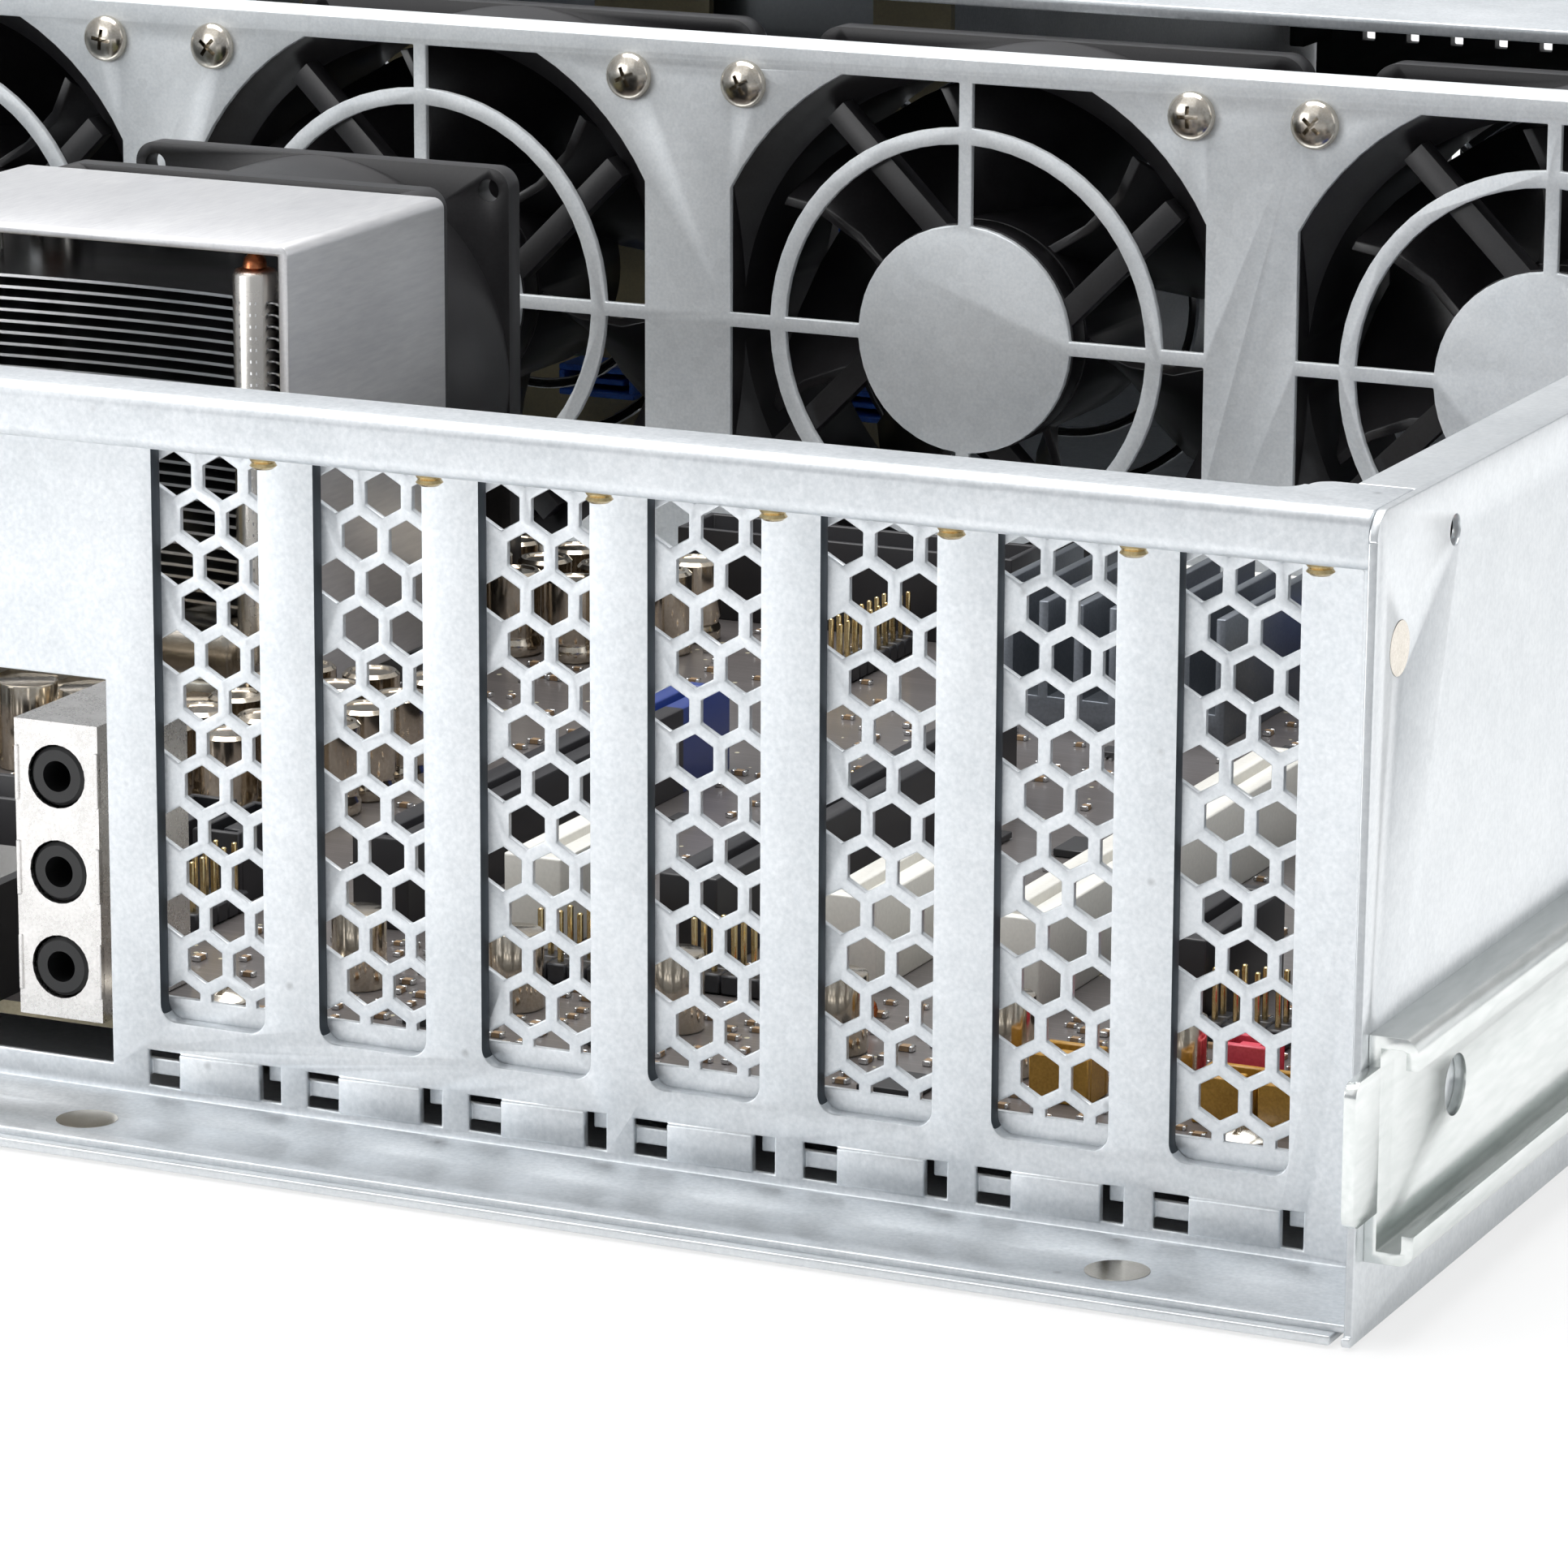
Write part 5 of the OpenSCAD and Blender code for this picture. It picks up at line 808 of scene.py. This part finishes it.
t, w, low, high = (rail[k] for k in ("sheet", "wide", "low", "high"))
lowLip, highLip = low + rail["lip"], high - rail["lip"]
outer = cornered(0, w, low, high, rail["radius"], ("lowRight", "highRight"))
inner = cornered(t, w - t, low + t, high - t, rail["innerR"], ("lowRight", "highRight"))
inner = [p for p in reversed(inner) if p[0] > t]
section = [(0, low)] + [p for p in outer if p[1] < lowLip and p[0] > 0] + [(w, lowLip), (w - t, lowLip)]
section += [p for p in inner if p[1] < lowLip] + [(t, low + t), (t, high - t)] + [p for p in inner if p[1] > highLip]
section += [(w - t, highLip), (w, highLip)] + [p for p in outer if p[1] > highLip and p[0] > 0] + [(0, high)]
railStart, railEnd = rear + rail["start"], railHigh.y
profileMesh = stretched("railSection", section, [], railEnd - railStart)
tabMesh = stretched("railTab", cornered(0, railStart - railLow.y + rail["lap"], rail["tabLow"], rail["tabHigh"],
                                        rail["radius"], ("highLeft", "lowLeft")), [], t)
bore = lathe([(0, -20 * mm), (rail["holeR"] * mm, -20 * mm), (rail["holeR"] * mm, 20 * mm), (0, 20 * mm)], 32)
parts, bores = [], []
for side in (-1, 1):
    across = Matrix.Diagonal((side, 1, 1, 1))
    middle = Vector((side * (sideX + rail["gap"]), (railStart + railEnd) / 2, 0)) * mm
    parts.append((profileMesh, Matrix.Translation(middle) @ across @ Matrix.Rotation(math.pi / 2, 4, "X")))
    onSide = Matrix(((0, 0, 1, 0), (1, 0, 0, 0), (0, 1, 0, 0), (0, 0, 0, 1)))
    place = Vector((side * (sideX + rail["gap"] + t / 2), railLow.y, 0)) * mm
    parts.append((tabMesh, Matrix.Translation(place) @ across @ onSide))
    place = Vector((side * sideX, rear + rail["holeY"], rail["holeZ"])) * mm
    bores.append((bore, Matrix.Translation(place) @ Matrix.Rotation(math.pi / 2, 4, "Y")))
piece = joined("rails", parts, "zincPlatedRail")
cutter = joined("railHoles", bores, "zincPlatedRail")
cut = piece.modifiers.new("holes", "BOOLEAN")
cut.operation, cut.solver, cut.object = "DIFFERENCE", "EXACT", cutter
applied(piece)
bevel = piece.modifiers.new("edges", "BEVEL")
bevel.width, bevel.segments, bevel.limit_method = rail["edge"] * mm, 2, "ANGLE"
applied(piece)
finishMesh(piece)
discard(cutter)
settle(piece, "slide_rails")
print("pieces remade as photographed: 5")


# Small parts of the board and the backplane, which sit on their CAD nodes

def laid(name, shape, places, material, **choices):  # copies of a shape on the board, then the shape goes
    piece = spread(name, shape, [(Vector(point) * mm, turn) for point, turn in places], materials[material], **choices)
    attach(piece, nodes["motherboard"]["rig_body"])
    discard(shape)
    return piece


boardLow, boardHigh = (Vector(corner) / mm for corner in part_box("motherboard"))
boardTop = boardHigh.z
taken = [ends for node in ("io_ports", "expansion_slots", "memory_slots", "chipset_heatsink", "cpu_socket",
                           "cooler_base", "board_capacitors", "board_connectors", "chassis_screws")
         for ends in solidsOf(node) if ends[1].z > boardTop]


def isFree(x, y, reach):  # nothing of the CAD stands within reach of this place on the board
    if not (boardLow.x + reach < x < boardHigh.x - reach and boardLow.y + reach < y < boardHigh.y - reach):
        return False
    return all(x < low.x - reach or x > high.x + reach or y < low.y - reach or y > high.y + reach
               for low, high in taken)


def claim(x, y, wide, deep):  # a place on the board is used up
    taken.append((Vector((x - wide / 2, y - deep / 2, boardTop)), Vector((x + wide / 2, y + deep / 2, boardTop))))


canSize = {"radius": 3.9, "height": 12.0, "rim": 0.5, "pitch": 9.4}
pitch = canSize["pitch"]
canSpots = [(4 + pitch * i, rear + 188 + pitch * k) for i in range(4) for k in range(3)]
canSpots += [(15 + pitch * i, rear + 88 + pitch * k) for i in range(3) for k in range(5)]
canSpots = [(x, y) for x, y in canSpots if isFree(x, y, canSize["radius"])]
r, h, rim = (canSize[k] * mm for k in ("radius", "height", "rim"))
outline = [(0, 0), (r * 0.9, 0), (r, rim), (r, h * 0.16), (r * 0.93, h * 0.2), (r * 0.93, h * 0.26), (r, h * 0.3),
           (r, h - rim), (r - rim, h), (r - 2 * rim, h), (r - 2.4 * rim, h - rim * 0.5), (0, h - rim * 0.5)]
shape = newPiece("can", lathe(outline, 20), materials["capacitorCan"])
laid("boardCans", shape, [((x, y, boardTop), (0, 0, 0)) for x, y in canSpots], "capacitorCan", seed=3, turn=math.pi,
     grow=(0.96, 1.0))
for x, y in canSpots:
    claim(x, y, 2 * canSize["radius"], 2 * canSize["radius"])

headers = [(172.8, 50.0, 4, 2), (93.2, 39.5, 4, 2), (111.0, 43.5, 4, 2), (93.4, 110.0, 3, 3), (150.0, 232.0, 8, 2),
           (174.0, 232.0, 5, 2), (60.0, 190.0, 2, 10), (132.0, 196.0, 6, 2), (44.0, 40.0, 2, 5), (150.5, 196.0, 5, 2)]
pinPitch, pinSide, pinHeight, seatHeight = 2.54, 0.64, 8.6, 2.5
seats = []
for x, y, across, along in headers:
    for i in range(across):
        for k in range(along):
            spot = (x + i * pinPitch, rear + y + k * pinPitch)
            if isFree(*spot, pinPitch / 2):
                seats.append(((*spot, boardTop), (0, 0, 0)))
for point, turn in seats:
    claim(point[0], point[1], pinPitch * 0.98, pinPitch * 0.98)
reach = pinPitch * 0.495
shape = blockShape("seat", [((-reach, -reach, 0.1), (reach, reach, seatHeight))], 0.25)
laid("headerSeats", shape, seats, "blackNylon")
shape = blockShape("pin", [((-pinSide / 2, -pinSide / 2, 0), (pinSide / 2, pinSide / 2, pinHeight))], 0.14)
laid("headerPins", shape, seats, "goldFlash")

plugs = {  # moulded plugs with a keyed mouth: material and (x, y, wide, deep, tall)
    "ochreNylon": [(166.5, 22.5, 7.0, 6.0, 5.4), (185.6, 22.5, 7.0, 6.0, 5.4), (193.2, 22.5, 7.0, 6.0, 5.4)],
    "redNylon": [(184.6, 30.2, 6.4, 5.0, 6.8)],
    "blackNylon": [(34.0, 60.0, 6.4, 15.0, 9.0), (42.6, 60.0, 6.4, 15.0, 9.0)]}
plugWall = 0.9
for material, rows in plugs.items():
    for number, (x, y, wide, deep, tall) in enumerate(rows):
        if not isFree(x, rear + y, 1.0):
            continue
        w, d = wide / 2, deep / 2
        innerW, innerD = w - plugWall, d - plugWall
        shape = blockShape("plug", [
            ((-w, -d, 0), (w, -innerD, tall)), ((-w, innerD, 0), (w, d, tall)),
            ((-w, -innerD, 0), (-innerW, innerD, tall)), ((innerW, -innerD, 0), (w, innerD, tall)),
            ((-innerW, -innerD, 0), (innerW, innerD, tall * 0.3)),
            ((-wide * 0.2, -deep * 0.22, tall * 0.3), (wide * 0.2, deep * 0.22, tall * 0.92))], 0.15)
        laid("%sPlug%d" % (material, number), shape, [((x, rear + y, boardTop), (0, 0, 0))], material)
        claim(x, rear + y, wide, deep)

dice = random.Random(17)
chips = {"packages": {"count": 16, "size": (7.0, 7.0, 1.1)}, "smallPackages": {"count": 44, "size": (3.4, 2.6, 1.0)}}
legs = {"pitch": 0.8, "wide": 0.36, "out": 0.9, "top": 0.4}
for name, chip in chips.items():
    wide, deep, tall = chip["size"]
    spots = []
    for attempt in range(4000):
        x, y = dice.uniform(boardLow.x, boardHigh.x), dice.uniform(boardLow.y, boardHigh.y)
        if len(spots) < chip["count"] and isFree(x, y, wide * 0.8):
            spots.append(((x, y, boardTop), (0, 0, dice.choice((0, math.pi / 2)))))
            claim(x, y, wide * 1.5, wide * 1.5)
    shape = blockShape(name, [((-wide / 2, -deep / 2, 0.12), (wide / 2, deep / 2, tall))], 0.1)
    laid(name, shape, spots, "mouldCompound")
    count = int(deep / legs["pitch"])
    rows = [(k - (count - 1) / 2) * legs["pitch"] for k in range(count)]
    shape = blockShape(name + "Legs", [((-wide / 2 - legs["out"], y - legs["wide"] / 2, 0.02),
                                        (wide / 2 + legs["out"], y + legs["wide"] / 2, legs["top"])) for y in rows], 0)
    laid(name + "Legs", shape, spots, "tinnedLead")

chipCount = 900
ends = []
for attempt in range(9000):
    if len(ends) == chipCount:
        break
    x, y = dice.uniform(boardLow.x, boardHigh.x), dice.uniform(boardLow.y, boardHigh.y)
    if dice.random() < 0.45:  # more of them behind the slots, where they can be seen
        x, y = dice.uniform(62, 204), dice.uniform(rear + 9, rear + 48)
    if isFree(x, y, 1.3):
        ends.append(((x, y, boardTop), (0, 0, dice.choice((0, math.pi / 2)))))
        claim(x, y, 2.0, 2.0)
shape = blockShape("chipEnds", [((-0.95, -0.5, 0.02), (-0.5, 0.5, 0.62)), ((0.5, -0.5, 0.02), (0.95, 0.5, 0.62))], 0.08)
laid("chipEnds", shape, ends, "tinnedLead", seed=5, grow=(0.8, 1.15))
shape = blockShape("chipCores", [((-0.5, -0.47, 0.04), (0.5, 0.47, 0.58))], 0)
laid("chipCores", shape, ends, "ceramicChip", seed=5, grow=(0.8, 1.15))

coil = {"place": (132.0, 37.5), "radius": 3.0, "wire": 1.1, "turns": 16}
bm = bmesh.new()
for k in range(coil["turns"]):  # closed rings of wire round an upright core
    angle = 2 * math.pi * k / coil["turns"]
    heart = Vector((coil["radius"] * math.cos(angle), coil["radius"] * math.sin(angle), coil["wire"] * 1.6))
    for v in bmesh.ops.create_uvsphere(bm, u_segments=8, v_segments=6, radius=1.0)["verts"]:
        v.co = Matrix.Rotation(angle, 3, "Z") @ Vector((v.co.x * 1.5, v.co.y * 0.62, v.co.z * 1.6)) + heart
        v.co *= mm
mesh = bpy.data.meshes.new("coil")
bm.to_mesh(mesh)
bm.free()
shape = newPiece("coil", mesh, materials["enamelledCopper"])
laid("boardCoil", shape, [((coil["place"][0], rear + coil["place"][1], boardTop), (0, 0, 0))], "enamelledCopper")

# sockets that the drives plug into: a rim of four walls, a back and the blade of contacts
socket = {"wide": 14.0, "high": 5.2, "deep": 8.4, "wall": 1.0, "back": 1.2, "columns": (-192, -166, -86, -60, -9),
          "rows": (12, 40, 68)}
w, d, h, wall, back = socket["wide"] / 2, socket["deep"], socket["high"] / 2, socket["wall"], socket["back"]
shape = blockShape("driveSocket", [
    ((-w, -d, -h), (w, 0, -h + wall)), ((-w, -d, h - wall), (w, 0, h)),
    ((-w, -d, -h + wall), (-w + wall, 0, h - wall)), ((w - wall, -d, -h + wall), (w, 0, h - wall)),
    ((-w + wall, -back, -h + wall), (w - wall, 0, h - wall)),
    ((-w + 2.4, -d + wall, -0.5), (w - 2.4, -back, 0.5))], 0.2)
planeLow = Vector(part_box("drive_backplane")[0]) / mm
spots = [((x, planeLow.y, z), (0, 0, 0)) for x in socket["columns"] for z in socket["rows"]]
piece = spread("driveSockets", shape, [(Vector(p) * mm, r) for p, r in spots], materials["blueNylon"])
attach(piece, nodes["drive_backplane"]["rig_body"])
discard(shape)
print("board parts:", len(canSpots), "cans,", len(seats), "pins,", len(ends), "chips")


# Floor, light and camera

stage = {"floorZ": -0.0004, "floorSize": 8.0, "floorColour": "#F4F4F4", "seenGlow": 0.72, "mirroredGlow": 0.3,
         "worldStrength": 0.56}

mesh = bpy.data.meshes.new("floor")
half = stage["floorSize"] / 2
mesh.from_pydata([(-half, -half, stage["floorZ"]), (half, -half, stage["floorZ"]),
                  (half, half, stage["floorZ"]), (-half, half, stage["floorZ"])], [], [(0, 1, 2, 3)])
material, tree, shader, coords = startMaterial("paperFloor", stage["floorColour"], 0.85)
paper = addNode(tree, "ShaderNodeTexNoise", {"Scale": perMetre(40)}, {"Vector": coords})
rough = addNode(tree, "ShaderNodeMapRange", {"To Min": 0.8, "To Max": 0.9}, {"Value": paper.outputs["Fac"]})
tree.links.new(rough.outputs["Result"], shader.inputs["Roughness"])
glow = addNode(tree, "ShaderNodeEmission", {"Color": srgb("#FFFFFF"), "Strength": 1.0})
path = addNode(tree, "ShaderNodeLightPath")
seen = addNode(tree, "ShaderNodeMath", {"operation": "MULTIPLY", 1: stage["seenGlow"]},
               {0: path.outputs["Is Camera Ray"]})
mirrored = addNode(tree, "ShaderNodeMath", {"operation": "MULTIPLY", 1: stage["mirroredGlow"]},
                   {0: path.outputs["Is Glossy Ray"]})
share = addNode(tree, "ShaderNodeMath", {"operation": "ADD"}, {0: seen.outputs[0], 1: mirrored.outputs[0]})
mixed = addNode(tree, "ShaderNodeMixShader", {}, {0: share.outputs[0], 1: shader.outputs[0], 2: glow.outputs[0]})
tree.links.new(mixed.outputs[0], tree.nodes["Material Output"].inputs["Surface"])
floor = newPiece("floor", mesh, material)
floor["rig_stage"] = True

world = bpy.data.worlds.new("studio")
bpy.context.scene.world = world
world.use_nodes = True
tree = world.node_tree
background = tree.nodes["Background"]
way = addNode(tree, "ShaderNodeTexCoord").outputs["Generated"]
rise = addNode(tree, "ShaderNodeSeparateXYZ", {}, {"Vector": way}).outputs["Z"]
sky = addNode(tree, "ShaderNodeValToRGB", {}, {
    "Fac": addNode(tree, "ShaderNodeMapRange", {"From Min": -1.0, "From Max": 1.0}, {"Value": rise}).outputs[0]})
stops = sky.color_ramp
stops.elements[0].position, stops.elements[0].color = 0.0, srgb("#E8E8E8")
stops.elements[1].position, stops.elements[1].color = 1.0, srgb("#FFFFFF")
for position, colour in ((0.5, "#C9CDD2"), (0.62, "#D9DCE0"), (0.8, "#F6F7F8")):
    stops.elements.new(position).color = srgb(colour)
path = addNode(tree, "ShaderNodeLightPath")
colour = addNode(tree, "ShaderNodeMix", {"data_type": "RGBA", 7: srgb("#FFFFFF")},
                 {0: path.outputs["Is Camera Ray"], 6: sky.outputs["Color"]})
power = addNode(tree, "ShaderNodeMapRange", {"To Min": stage["worldStrength"], "To Max": 1.0},
                {"Value": path.outputs["Is Camera Ray"]})
tree.links.new(colour.outputs[2], background.inputs["Color"])
tree.links.new(power.outputs["Result"], background.inputs["Strength"])

lamps = {  # soft boxes: place, point aimed at, size and power
    "keyLamp": {"place": (-0.5, -1.3, 1.1), "aim": (0.05, -0.1, 0.02), "size": 1.3, "power": 3},
    "topLamp": {"place": (-0.2, 0.0, 1.6), "aim": (0.0, 0.0, 0.0), "size": 1.6, "power": 42},
    "leftLamp": {"place": (-0.32, -0.56, 0.16), "aim": (0.02, -0.27, 0.05), "size": 0.25, "power": 0.8},
    "sideLamp": {"place": (1.6, 0.3, 0.5), "aim": (0.2, -0.1, 0.05), "size": 1.2, "power": 3.5}}
for name, lamp in lamps.items():
    light = bpy.data.lights.new(name, "AREA")
    light.shape, light.size, light.energy = "SQUARE", lamp["size"], lamp["power"]
    holder = bpy.data.objects.new(name, light)
    bpy.context.scene.collection.objects.link(holder)
    aim = Vector(lamp["aim"]) - Vector(lamp["place"])
    holder.matrix_world = Matrix.Translation(lamp["place"]) @ aim.to_track_quat("-Z", "Y").to_matrix().to_4x4()

view = {"place": (0.4379, rearY - 0.6348, 0.2227), "azimuth": 25.01, "elevation": 14.22, "roll": 0.242,
        "lens": 155.62, "shift": (0.00424, 0.00812)}
azimuth, elevation, roll = (math.radians(view[k]) for k in ("azimuth", "elevation", "roll"))
flat = math.cos(elevation)
ahead = Vector((-math.sin(azimuth) * flat, math.cos(azimuth) * flat, -math.sin(elevation)))
right = Vector((math.cos(azimuth), math.sin(azimuth), 0))
up = right.cross(ahead)
turned = math.cos(roll) * right + math.sin(roll) * up
top = -math.sin(roll) * right + math.cos(roll) * up
camera = bpy.data.cameras.new("photoView")
camera.sensor_width, camera.lens = 36.0, view["lens"]
camera.shift_x, camera.shift_y = view["shift"]
camera.clip_start, camera.clip_end = 0.01, 30
holder = bpy.data.objects.new("photoView", camera)
bpy.context.scene.collection.objects.link(holder)
axes = Matrix((turned, top, -ahead)).transposed().to_4x4()
holder.matrix_world = Matrix.Translation(view["place"]) @ axes
bpy.context.scene.camera = holder
bpy.context.scene.view_settings.view_transform = "Standard"
print("stage set")

low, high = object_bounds()
